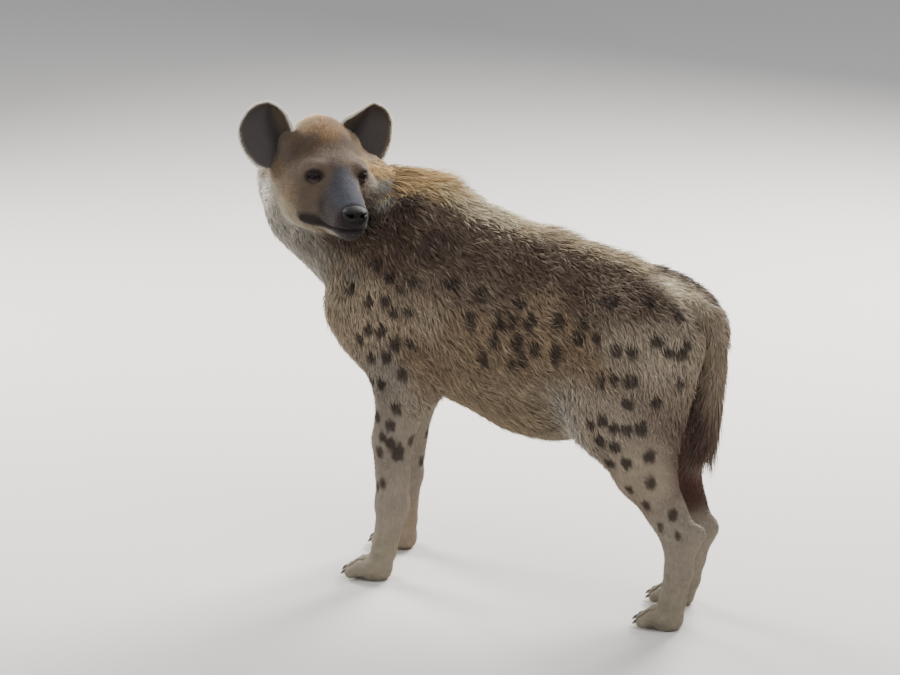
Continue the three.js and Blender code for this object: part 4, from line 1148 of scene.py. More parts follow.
def markings_and_painted_shade(points, coat_values):
    """Colour of skin and coat: the guides' blend, mottled, then the marks of the face, painted shade under
    the brows and in the neck's folds, and the spots.
    """
    colour = coat_values[:, 5:8].copy()
    shaggy = smooth_step(8, 26, coat_values[:, 3])
    mottle = 1 + 0.07 * waves(points, 55, 3) + 0.05 * waves(points, 17, 4)
    mottle += shaggy * (0.1 * streaks(points, 9, 5) + 0.07 * streaks(points, 26, 6))
    colour *= mottle[:, None]
    colours = palette()
    head = to_head(points)
    above, on_line = above_mouth(head)
    lip = smooth_step(10, 2, np.where(above < 0, -above * 0.8, above)) * on_line
    corner_at, corner_up = 82, -64
    corner = np.hypot((head[:, 0] - corner_at) / 1.3, head[:, 2] - corner_up)
    lip = np.maximum(lip, smooth_step(11, 1, corner) * (np.abs(head[:, 1]) > 24) * 0.8)
    tip = np.linalg.norm((head - vec(nose_reach() - 12, 0, -52)) / vec(1, 1.1, 1), axis=1)
    lip = np.maximum(lip, smooth_step(34, 22, tip))
    colour = mix(colour, colours["lip"], lip[:, None] * 0.9)
    for side in (1, -1):
        across, up, out = eye_axes(side)
        off = head - eye_at(side)[0]
        a, b = off @ across, off @ up
        near = smooth_step(-4, 6, off @ out) * (np.linalg.norm(off, axis=1) < 40)
        # Dark skin round each eye, shifted up and widened as painted shade under the brow
        ring = smooth_step(1.9, 1.2, np.hypot(a / ALMOND["half"], (b - 1.5) / 9)) * near
        inner = smooth_step(1, 0.3, np.hypot((a + side * 19) / 9, (b + 2) / 4)) * near
        colour = mix(colour, colours["lid"], np.maximum(ring, inner * 0.8)[:, None] * 0.9)
        for (f, l, u), half, name, (ends, begins), strength in FACE_MARKS:
            away = np.linalg.norm((head - vec(f, side * l, u)) / vec(*half), axis=1)
            colour = mix(colour, colours[name], smooth_step(ends, begins, away)[:, None] * strength)
    # Painted shade in the creases of the neck's folds, towards the dark brown
    _, crease = neck_folds(points)
    colour = mix(colour, colours["dark"], np.clip(crease, 0, 1)[:, None] * 0.45)
    wobble = 1 + 0.14 * waves(points, 14, 8)
    share = np.zeros(len(points))
    for x, y, z, wide, tall in STATE["spots"]:
        near = np.flatnonzero((np.abs(points - vec(x, y, z)) < 40).all(1))
        off = points[near] - vec(x, y, z)
        level = np.hypot(off[:, 0], off[:, 1]) / (wide * SPOT_GROWTH)
        upright = off[:, 2] / (tall * SPOT_GROWTH)
        reach = np.sqrt(level**2 + upright**2) * wobble[near]
        share[near] = np.maximum(share[near], 1 - smooth_step(0.72, 1.2, reach))
    return mix(colour, colours["spot"] * mottle[:, None], share[:, None] * 0.9)


# Two ends in the picture of each fold of the neck
NECK_FOLDS = [
    ((381, 206), (338, 276)),
    ((388, 212), (346, 286)),
    ((374, 212), (333, 262)),
    ((366, 222), (330, 250)),
]


def neck_folds(points):
    """Height of the folds on the left of the neck, and their creases' share of painted shade: bell curves of
    the distance to each line.
    """
    height = np.zeros(len(points))
    crease = np.zeros(len(points))
    x, y, z = points.T
    near = np.flatnonzero((x > 215) & (x < 460) & (z > 520) & (y > 0))
    near = near[np.linalg.norm(points[near] - SKULL, axis=1) > 105]
    at = in_picture(points[near])
    for start, end in NECK_FOLDS:
        start, end = vec(*start), vec(*end)
        way = end - start
        t = (at - start) @ way / (way @ way)
        beside = np.clip(t, 0, 1)
        off = np.linalg.norm(at - start - beside[:, None] * way, axis=1)
        fade = smooth_step(-0.15, 0.15, t) * smooth_step(1.2, 0.8, t)
        bank = 1.6 * np.exp(-(((off - 3.4) / 1.5) ** 2))
        height[near] += (bank - 3.6 * np.exp(-((off / 1.3) ** 2))) * fade
        crease[near] = np.maximum(crease[near], np.exp(-((off / 1.2) ** 2)) * fade)
    return height, crease


# Lowest places of skin and hair, and the height up to which soles are bare
SKIN_FLOOR = 0.4
HAIR_FLOOR = 0.3
SOLE_HEIGHT = 3


def skin_distance():
    """The skin: the body's field, deeper by the coat's depth, cut level at the floor."""
    body = STATE["body"]
    coat = STATE["coat"]

    def distance(points):
        found = body(points)
        near = np.abs(found) < 45
        found[near] += coat.at(points[near])[:, 4]
        return np.maximum(found, SKIN_FLOOR - points[:, 2])

    return distance


# The opening between the lids: half its width, its heights above and below, and its tilt
ALMOND = {"half": 13.6, "upper": 5.3, "lower": 4.9, "tilt": 0.18}
# Rings of both lids: growth from the rim, height over the eyeball, and share of the face's colour
LID_RINGS = [
    (1.0, 0.0, 0), (0.99, 1.3, 0), (1.04, 1.9, 0), (1.14, 2.1, 0), (1.28, 2.0, 0.1), (1.42, 1.5, 0.3),
    (1.56, 1.7, 0.5), (1.75, 1.0, 0.75), (1.98, -1.5, 1),
]


def eye_axes(side):
    """Across, up and out at one eye, in the head's axes: the inner corner lies a little lower."""
    _, out = eye_at(side)
    across = unit(np.cross(vec(0, 0, 1), out))
    up = np.cross(out, across)
    tilt = -side * ALMOND["tilt"]
    turned = across * math.cos(tilt) + up * math.sin(tilt)
    return turned, np.cross(out, turned), out


def rim_reach(angle):
    """Across and up, at an angle round it, of the opening between the lids: an almond with long corners."""
    c, s = np.cos(angle), np.sin(angle)
    tall = np.where(s > 0, ALMOND["upper"], ALMOND["lower"])
    return ALMOND["half"] * c, tall * np.sign(s) * np.abs(s) ** 1.25


# From the front of the lips to the left corner of the mouth, in the head's axes
MOUTH_LINE = [(203, 0, -72), (190, 20, -73), (160, 33, -74), (128, 40, -73), (96, 46, -68), (72, 50, -59)]


def above_mouth(local):
    """How far places lie above the line of the mouth, and 1 beside it or 0 past its corners."""
    line = through(MOUTH_LINE, 8)
    mirrored = local.copy()
    mirrored[:, 1] = np.abs(local[:, 1])
    above = np.full(len(local), 1e3)
    x, y, z = mirrored.T
    face = np.flatnonzero((x > 50) & (y < 90) & (z < -20) & (z > -130))
    for a, b in zip(line, line[1:]):
        t = np.clip((mirrored[face] - a) @ (b - a) / ((b - a) @ (b - a)), 0, 1)
        off = mirrored[face] - (a + t[:, None] * (b - a))
        closer = (np.abs(off[:, 2]) < np.abs(above[face])) & (np.linalg.norm(off[:, :2], axis=1) < 24)
        above[face[closer]] = off[closer, 2]
    return above, smooth_step(66, 74, local[:, 0])


def face_sculpted(points, normals):
    """Places of the skin moved: sockets open, the mouth's line sinks, lips, brows and folds stand up."""
    local = to_head(points)
    moved = local.copy()
    out_of = normals @ HEAD_TURN
    above, on_line = above_mouth(local)
    groove = -5 * np.exp(-((above / 1.8) ** 2))
    lips = 2.2 * np.exp(-(((np.abs(above) - 5) / 2.8) ** 2))
    moved += out_of * ((groove + lips) * on_line)[:, None]
    height, _ = neck_folds(points)
    moved += out_of * height[:, None]
    for side in (1, -1):
        middle, _ = eye_at(side)
        across, up, out = eye_axes(side)
        off = local - middle
        a, b, c = off @ across, off @ up, off @ out
        angle = np.arctan2(b / ALMOND["upper"], a / ALMOND["half"])
        rim_a, rim_b = rim_reach(angle)
        near = np.exp(-((c - EYE_RADIUS) / 16) ** 2)
        brow = 3.4 * np.exp(-(((b - 14) / 5) ** 2) - (a / 16) ** 2)
        bag = 1.4 * np.exp(-(((b + 13) / 3.5) ** 2) - (a / 13) ** 2)
        bag -= 1.4 * np.exp(-(((b + 18) / 3) ** 2) - (a / 13) ** 2)
        moved += out_of * ((brow + bag) * near)[:, None]
        inside = (np.hypot(a, b) < np.hypot(rim_a, rim_b) * 1.2 + 1) & (c > 0) & (np.hypot(a, b) < 24)
        moved[inside] = middle + unit(off[inside]) * (EYE_RADIUS - 3.5)
    return from_head(moved)


def toes_parted(points, normals):
    """Clefts between the toes: the skin sinks in a bell curve of the distance to each line between two, which
    also sets their painted shade.
    """
    sunk = np.zeros(len(points))
    for leg in LEGS:
        size = leg["size"]
        beside_paw = np.linalg.norm(points[:, :2] - vec(*leg["paw"][:2]), axis=1) < 90
        low = np.flatnonzero((points[:, 2] < 50) & beside_paw)
        for place in (-1, 0, 1):
            turn = leg["turn"] + place * TOE_FAN
            forward = vec(math.cos(turn), math.sin(turn), 0)
            start = vec(*leg["paw"]) + vec(8, place * sizes()["paw_width"] * TOE_STEP * size, 0)
            off = points[low] - start
            ahead = off @ forward
            beside = np.abs(off[:, 0] * forward[1] - off[:, 1] * forward[0])
            bell = np.exp(-((beside / 2.6) ** 2)) * smooth_step(-4, 12, ahead)
            bell *= smooth_step(50, 40, points[low, 2])
            sunk[low] = np.maximum(sunk[low], bell)
    return points - normals * (sunk * 5)[:, None], sunk


SKIN_LOW = (-560, -190, -16)
SKIN_HIGH = (500, 270, 960)
SKIN_CELL = 8.5


def make_skin():
    """The one skin of the whole body: finer on head, paws and tail, and finest on face and toes."""
    distance = skin_distance()
    tail = STATE["tail"]
    points, triangles = surface_net(distance, SKIN_LOW, SKIN_HIGH, SKIN_CELL)

    def near_parts(p):
        on_the_head = (np.abs(to_head(p) - vec(60, 0, 0)) < vec(175, 120, 140)).all(1)
        folded = (p[:, 0] > 215) & (p[:, 1] > 20) & (p[:, 2] > 520)
        return on_the_head | folded | (p[:, 2] < 95) | (tail(p) < 8)

    def near_face(p):
        head = to_head(p)
        face = (head[:, 0] > 40) & (np.abs(head[:, 1]) < 100) & (head[:, 2] > -100) & (head[:, 2] < 60)
        toes = (p[:, 2] < 46) & (p[:, 2] > 1)
        return face | toes

    points = settled(relaxed(points, triangles, 2), distance, 1)
    middle = points[triangles].mean(1)
    points, triangles = refined(points, triangles, near_parts(middle))
    points = settled(relaxed(points, triangles, 1), distance, 1)
    middle = points[triangles].mean(1)
    points, triangles = refined(points, triangles, near_face(middle))
    points = settled(relaxed(points, triangles, 1), distance, 2)
    normals = normals_of(points, triangles)
    return points, triangles, normals


def chart_bones():
    """Name, box in the unwrap, and line of each part of the body that is unrolled round its own line."""
    bones = [
        ("trunk", (0, 0.5, 0.5, 0.5), (-430, 0, 560), (230, 0, 560)),
        ("neck", (0.5, 0.5, 0.25, 0.25), (230, 0, 640), (420, 40, 780)),
        ("head", (0.5, 0.75, 0.5, 0.25), on_head(-70, 0, 0), on_head(200, 0, -40)),
        ("tail", (0.75, 0.5, 0.25, 0.25), (-490, 0, 640), (-480, 0, 330)),
    ]
    for i, leg in enumerate(LEGS):
        top = leg.get("elbow") or leg["hip"]
        bend = leg.get("wrist") or leg["hock"]
        bones.append((leg["name"] + "_upper", (0.25 * i, 0.25, 0.25, 0.25), top, bend))
        bones.append((leg["name"] + "_lower", (0.25 * i, 0, 0.25, 0.25), bend, leg["paw"]))
    return bones


def unrolled(points):
    """Places on an unwrap of the skin, along and round the nearest part's line, and that part's number."""
    shares = {"trunk": 0.5, "neck": 0.7, "head": 0.7}
    best = np.full(len(points), 1e9)
    uv = np.zeros((len(points), 2))
    part = np.zeros(len(points), int)
    for number, (name, (u0, v0, wide, tall), start, end) in enumerate(chart_bones()):
        start, end = vec(*start), vec(*end)
        along = end - start
        t = np.clip((points - start) @ along / (along @ along), 0, 1)
        off = points - start - t[:, None] * along
        gap = np.linalg.norm(off, axis=1) * shares.get(name, 1)
        level = abs(along[2]) < abs(along[0])
        side = unit(np.cross(along, vec(0, 0.2, 1) if level else vec(1, 0.2, 0)))
        up = unit(np.cross(side, along))
        round_it = np.arctan2(off @ side, off @ up) / (2 * math.pi) + 0.5
        closer = gap < best
        best[closer] = gap[closer]
        part[closer] = number
        uv[closer, 0] = u0 + wide * (0.01 + 0.98 * round_it[closer])
        uv[closer, 1] = v0 + tall * (0.01 + 0.98 * t[closer])
    return uv, part


def tuft_arrays(roots, out, lie, length, rise, width, sway, tone, profile, uv):
    """Closed tufts, three corners to a ring round root + lie L t + out rise t (2 - t) + side sway L t^2."""
    count = len(roots)
    side = unit(np.cross(out, lie))
    rings = len(profile)
    points = np.zeros((count, rings * 3 + 1, 3))
    shade = np.zeros((count, rings * 3 + 1, 3))
    place = np.zeros((count, rings * 3 + 1, 2))
    root_tone, tip_tone = tone
    for i, (t, share) in enumerate([*profile, (1.0, 0.0)]):
        up = rise * t * (2 - t) if t > 0 else np.full(count, -1.5)
        centre = roots + lie * (length * t)[:, None] + out * up[:, None]
        centre = centre + side * (sway * length * max(t, 0) ** 2)[:, None]
        half = (width * share / 2)[:, None]
        corners = [-side * half, side * half, out * half * 0.7] if i < rings else [np.zeros(3)]
        for k, offset in enumerate(corners):
            points[:, i * 3 + k] = centre + offset
            shade[:, i * 3 + k] = mix(root_tone, tip_tone, min(max(t, 0), 1))
            place[:, i * 3 + k] = uv + vec((k - 1) * 0.0015, (t - 0.5) * 0.003)
    faces = [(0, 1, 2)]
    for i in range(rings - 1):
        for k in range(3):
            a, b = i * 3 + k, i * 3 + (k + 1) % 3
            faces += [(a, a + 3, b + 3), (a, b + 3, b)]
    last = (rings - 1) * 3
    faces += [(last + k, rings * 3, last + (k + 1) % 3) for k in range(3)]
    faces = np.array(faces)
    whole = faces[None] + (np.arange(count) * (rings * 3 + 1))[:, None, None]
    points[..., 2] = np.maximum(points[..., 2], HAIR_FLOOR)
    return points.reshape(-1, 3), whole.reshape(-1, 3), shade.reshape(-1, 3), place.reshape(-1, 2)


# Rings of a tuft before its tip: their place along it, and their share of its width
SPIKE_PROFILE = [(-0.1, 1.0)]
SHORT_PROFILE = [(-0.05, 0.7), (0.5, 1.0)]
LONG_PROFILE = [(-0.03, 0.7), (0.3, 1.0), (0.68, 0.75)]
PIECE_LIMIT = 190000


def spread_roots(points, triangles, normals, density, rng):
    """Roots strewn evenly by area times density, with the normals there and their triangles' corners."""
    a, b, c = points[triangles].transpose(1, 0, 2)
    area = np.linalg.norm(np.cross(b - a, c - a), axis=1) / 2
    heap = np.cumsum(area * density)
    count = int(heap[-1])
    chosen = np.searchsorted(heap, (np.arange(count) + rng.random(count)) * heap[-1] / count)
    chosen = np.minimum(chosen, len(triangles) - 1)
    r, s = rng.random((2, count))
    root = np.sqrt(r)
    shares = np.stack([1 - root, root * (1 - s), root * s], 1)
    corner = triangles[chosen]
    roots = (points[corner] * shares[..., None]).sum(1)
    out = unit((normals[corner] * shares[..., None]).sum(1))
    return roots, out, corner


def flowing(lie, out, points, strength, seed):
    """The lie with slow swirls and a clumping ripple added, kept in the surface."""
    swirl = np.stack([waves(points, 60, seed + i) for i in range(3)], 1)
    ripple = np.stack([waves(points, 13, seed + 5 + i) for i in range(3)], 1)
    return unit(in_surface(lie + swirl * 0.16 * strength + ripple * 0.22 * strength, out))


def strewn(name, points, faces, shade, uv, per_points, per_faces):
    """Coat objects from the arrays of tufts, each under the limit of triangles."""
    count = len(points) // per_points
    batch = PIECE_LIMIT // per_faces
    for number, first in enumerate(range(0, count, batch)):
        last = min(first + batch, count)
        rows = slice(first * per_points, last * per_points)
        chosen = faces[first * per_faces:last * per_faces] - first * per_points
        mesh_object(f"{name}_{number + 1}", points[rows], chosen, STATE["hair"], shade[rows], uv[rows])


def grown(name, roots, out, lie, length, rise, width, sway, colour, profile, rng,
          tones=(0.7, 1.18), low=None):
    """Tufts of one kind as coat objects: darker at the root, lighter at the tip, each a little its own."""
    uv, _ = unrolled(roots)
    tone = colour * varied(rng, (len(roots), 1), (tones[1] - 1) * 0.6, 0.6, 1.3)
    low = tone * tones[0] if low is None else low * tone / np.maximum(colour, 0.01)
    pair = (low, np.minimum(tone * tones[1], 0.95))
    made = tuft_arrays(roots, out, lie, length, rise, width, sway, pair, profile, uv)
    rings = len(profile)
    strewn(name, *made, rings * 3 + 1, 1 + (rings - 1) * 6 + 3)


# Operators

class HYENA_OT_skin(bpy.types.Operator):
    """The one skin of the whole body, inside the solids by the depth of the coat"""

    bl_idname = "hyena.skin"
    bl_label = "Skin"

    def execute(self, context):
        tail = tail_masses()
        masses = [*trunk_masses(), *neck_masses(), *head_masses()]
        for leg in LEGS:
            masses += foreleg_masses(leg) if "elbow" in leg else hindleg_masses(leg)
        STATE["tail"] = field_of(tail)
        STATE["body"] = field_of(masses + tail)
        STATE["coat"] = Coat()
        STATE["spots"] = spots(field_of(masses))
        STATE["hair"] = hair_material()
        points, triangles, normals = make_skin()
        shaped, toe_cleft_shade = toes_parted(face_sculpted(points, normals), normals)
        values = STATE["coat"].at(points)
        # Painted shade darkens the clefts between the toes
        colours = markings_and_painted_shade(points, values) * (0.84 - 0.3 * toe_cleft_shade[:, None])
        skin = mesh_object("skin", shaped, triangles, skin_material(), colours)
        flesh = ["torso", "neck", "head", "tail"]
        for leg in LEGS:
            flesh += [f"{leg['name']}_{part}" for part in ("upper", "lower", "paw")]
        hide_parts(*flesh)
        STATE["skin"] = (shaped, triangles, normals_of(shaped, triangles))
        return {"FINISHED"}


class HYENA_OT_eyes(bpy.types.Operator):
    """Eyeballs, with the angle off their axis for pupil and iris, and lids with rims and a crease"""

    bl_idname = "hyena.eyes"
    bl_label = "Eyes and lids"

    def execute(self, context):
        rim_skin = lid_material()
        rng = np.random.default_rng(61)
        rows, columns = 41, 64
        for side, word in ((1, "left"), (-1, "right")):
            middle, _ = eye_at(side)
            across, up, out = eye_axes(side)
            theta, phi = ball_angles(rows, columns)
            bulge = EYE_RADIUS + 0.5 * np.exp(-((theta / 0.5) ** 4))
            ring = np.sin(theta) * bulge
            local = (
                (ring * np.cos(phi))[..., None] * across
                + (ring * np.sin(phi))[..., None] * up
                + (np.cos(theta) * bulge * np.ones_like(phi))[..., None] * out
            )
            points = from_head((middle + local).reshape(-1, 3))
            off = np.repeat((theta / math.pi * 2.2).clip(0, 1), columns, axis=1).reshape(-1, 1) * np.ones(3)
            faces = grid_faces(rows, columns)[:, ::-1]
            eye = mesh_object(f"eyeball_{word}", points, faces, eye_material(side), off)
            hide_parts(f"eye_{word}")
            self.lids(side, word, middle, (across, up, out), rim_skin, rng)
        return {"FINISHED"}

    def lids(self, side, word, middle, axes, material, rng):
        """Both lids as one ring: rim, thickness turned in to the eyeball, crease, and a skirt under the coat.

        Across and up grow from the rim's own, by each ring's growth, and out follows the ball.
        """
        across, up, out = axes
        count = 72
        angle = np.linspace(0, 2 * math.pi, count, endpoint=False)
        rim_a, rim_b = rim_reach(angle)
        rows, shade = [], []
        fur = STATE["coat"].at(from_head((middle + out * EYE_RADIUS)[None]))[0, 5:8]
        for grow, lift, furry in LID_RINGS:
            radius = EYE_RADIUS + lift
            a, b = rim_a * grow, rim_b * grow + np.sign(rim_b) * (grow - 1) * 4
            flat = np.hypot(a, b)
            shrink = np.minimum(1, radius * 0.985 / np.maximum(flat, 1e-6))
            a, b, flat = a * shrink, b * shrink, flat * shrink
            c = np.sqrt(np.maximum(radius**2 - flat**2, 0))
            rows.append(middle + a[:, None] * across + b[:, None] * up + c[:, None] * out)
            shade.append(np.tile(mix(palette()["lid"] * 0.5, fur, furry * 0.8), (count, 1)))
        points = from_head(np.vstack(rows))
        faces = grid_faces(len(LID_RINGS), count)
        mesh_object(f"eyelids_{word}", points, faces, material, np.vstack(shade))
        self.lid_hair(side, word, points, faces[count * 3:count * 7], out, fur, rng)
        self.lashes(word, points.reshape(len(LID_RINGS), count, 3)[1], angle, axes, rng)

    def lid_hair(self, side, word, points, quads, out, fur, rng):
        """Short hair over the lids, from just behind their bare rims, leaning back from the nose."""
        triangles = halved(quads)
        facing = HEAD_TURN @ out
        normals = normals_of(points, triangles)
        normals = normals * np.sign((normals @ facing).sum())
        roots, grow, _ = spread_roots(points, triangles, normals, np.full(len(triangles), 0.5), rng)
        keep = grow @ facing > 0.1
        roots, grow = roots[keep], grow[keep]
        count = len(roots)
        middle = from_head(eye_at(side)[0][None])[0]
        lie = HEAD_TURN @ unit(vec(-1, side * 0.25, 0)) + unit(roots - middle) * 0.3
        lie = unit(in_surface(lie, grow))
        near = np.linalg.norm((roots - middle) - ((roots - middle) @ facing)[:, None] * facing, axis=1)
        shade = mix(palette()["lid"], fur, smooth_step(12, 21, near)[:, None])
        grown(f"hair_lids_{word}", roots, grow, lie, rng.uniform(2, 3.4, count), rng.uniform(0.2, 0.7, count),
              np.full(count, 0.8), rng.normal(size=count) * 0.1, shade, SPIKE_PROFILE, rng, (0.86, 1.1))

    def lashes(self, word, rim, angle, axes, rng):
        """Fine dark lashes along the upper rim, out and a little down."""
        across, up, out = (HEAD_TURN @ axis for axis in axes)
        at = rng.uniform(0.35, math.pi - 0.35, 46)
        roots = np.stack([np.interp(at, angle, rim[:, i]) for i in range(3)], 1)
        count = len(roots)
        lie = out + up * 0.25 + across * np.cos(at)[:, None] * 0.6
        lie = unit(lie + rng.normal(size=(count, 3)) * 0.12)
        grow = unit(up - lie * (lie @ up)[:, None])
        shade = np.tile(palette()["lid"] * 0.4, (count, 1))
        grown(f"lashes_{word}", roots, grow, lie, rng.uniform(4, 7, count), rng.uniform(0.2, 1.2, count),
              np.full(count, 0.45), rng.normal(size=count) * 0.1, shade, SHORT_PROFILE, rng, (0.9, 1.1))


class HYENA_OT_nose(bpy.types.Operator):
    """The nose pad: an egg with two comma-shaped nostrils and the groove between them"""

    bl_idname = "hyena.nose"
    bl_label = "Nose"

    def execute(self, context):
        rows, columns = 60, 96
        theta, phi = ball_angles(rows, columns)
        x = np.cos(theta) * np.ones_like(phi)
        y = np.sin(theta) * np.cos(phi)
        z = np.sin(theta) * np.sin(phi)
        square = (np.abs(y) ** 3 + np.abs(z) ** 3 + 1e-9) ** (1 / 3) / np.maximum(np.hypot(y, z), 1e-6)
        wide = (1 + 0.1 * z) / np.maximum(square, 0.8) ** 0.5
        local = np.stack([19 * x, 24 * y * wide, 17 * z], -1).reshape(-1, 3)
        front = local[:, 0] > 0
        dig = np.zeros(len(local))
        for side in (1, -1):
            outward = side * local[:, 1]
            hole = np.hypot((outward - 10.5) / 4.4, (local[:, 2] + 1.5) / 3.6)
            slit = np.hypot((outward - 17.5) / 6, (local[:, 2] + 1 - 0.3 * (outward - 14)) / 1.7)
            wing = np.hypot((outward - 14) / 7, (local[:, 2] - 5) / 4)
            dig += 11 * np.exp(-(hole**4)) + 6 * np.exp(-(slit**2)) - 1.6 * np.exp(-(wing**2))
        dig += 1.6 * np.exp(-((local[:, 1] / 1.3) ** 2)) * (local[:, 2] < 4)
        moved = local - np.where(front, dig, 0)[:, None] * vec(1, 0, 0)
        points = from_head(moved + nose_pad_middle())
        faces = grid_faces(rows, columns)[:, ::-1]
        nose = mesh_object("nose_pad", points, faces, nose_material())
        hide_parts("nose")
        return {"FINISHED"}


# Each ear's inner and outer edge in the picture, from the head to the tip
EAR_EDGES = {
    -1: (
        [(292, 136), (289, 124), (284, 114), (277, 107), (268, 103)],
        [(264, 168), (256, 164), (247, 154), (241, 141), (240, 128), (246, 115), (256, 106), (268, 103)],
    ),
    1: (
        [(340, 130), (346, 121), (356, 115), (366, 108), (374, 104)],
        [(376, 167), (382, 159), (387, 149), (390, 137), (391, 122), (385, 110), (374, 104)],
    ),
}
# The plane that each ear's edges lie in: a place and the way it faces, in the head's axes
EAR_PLANES = {-1: ((-34, -76, 44), (0.88, -0.46, -0.05)), 1: ((-34, 74, 46), (0.94, 0.3, -0.05))}
EAR_CUP = 30
EAR_THICKNESS = 3.4
EAR_ROWS = 36
EAR_COLUMNS = 40
EAR_SUNK_ROWS = 4


def ear_out(side):
    """The way that an ear faces."""
    return HEAD_TURN @ unit(EAR_PLANES[side][1])


def through_picture(pixels, place, normal):
    """Where sight lines through pixels meet a plane."""
    way = sight_lines(np.asarray(pixels, float))
    start = eye_point()
    return start + way * (((place - start) @ normal) / (way @ normal))[:, None]


def along_line(points, shares):
    """Places at shares of the length of a smooth line through points."""
    line = through(points, 12)
    steps = np.concatenate([[0], np.cumsum(np.linalg.norm(np.diff(line, axis=0), axis=1))])
    return np.stack([np.interp(shares * steps[-1], steps, line[:, i]) for i in range(3)], 1)


def ear_sheet(side, thickness):
    """One face of an ear: straight from edge to edge, hollowed back by the cup's depth, sin(pi s^0.8)."""
    place, _ = EAR_PLANES[side]
    facing = ear_out(side)
    inner, outer = (through_picture(edge, on_head(*place), facing) for edge in EAR_EDGES[side])
    up = np.linspace(0, 1, EAR_ROWS - EAR_SUNK_ROWS)
    sides = [along_line(edge, up) for edge in (inner, outer)]
    deep = np.linspace(0.32, 0.06, EAR_SUNK_ROWS)[:, None]
    inner, outer = (np.vstack([edge[:1] + (SKULL - edge[:1]) * deep, edge]) for edge in sides)
    up = np.concatenate([np.zeros(EAR_SUNK_ROWS), up])[:, None]
    s = np.linspace(0, 1, EAR_COLUMNS)[None]
    hollow = EAR_CUP * np.sin(math.pi * s**0.8) * (1 - up**1.5) ** 0.8 + 3 * np.sin(math.pi * s) * up
    ripple = 0.7 * np.sin(up * 16 + s * 5) * smooth_step(0.5, 1, np.abs(2 * s - 1))
    edge = 1 - np.abs(2 * s - 1) ** 8
    back = hollow + ripple + thickness * edge * (1 - 0.7 * up**6)
    points = mix(inner[:, None], outer[:, None], s[..., None]) - back[..., None] * facing
    return points.reshape(-1, 3)


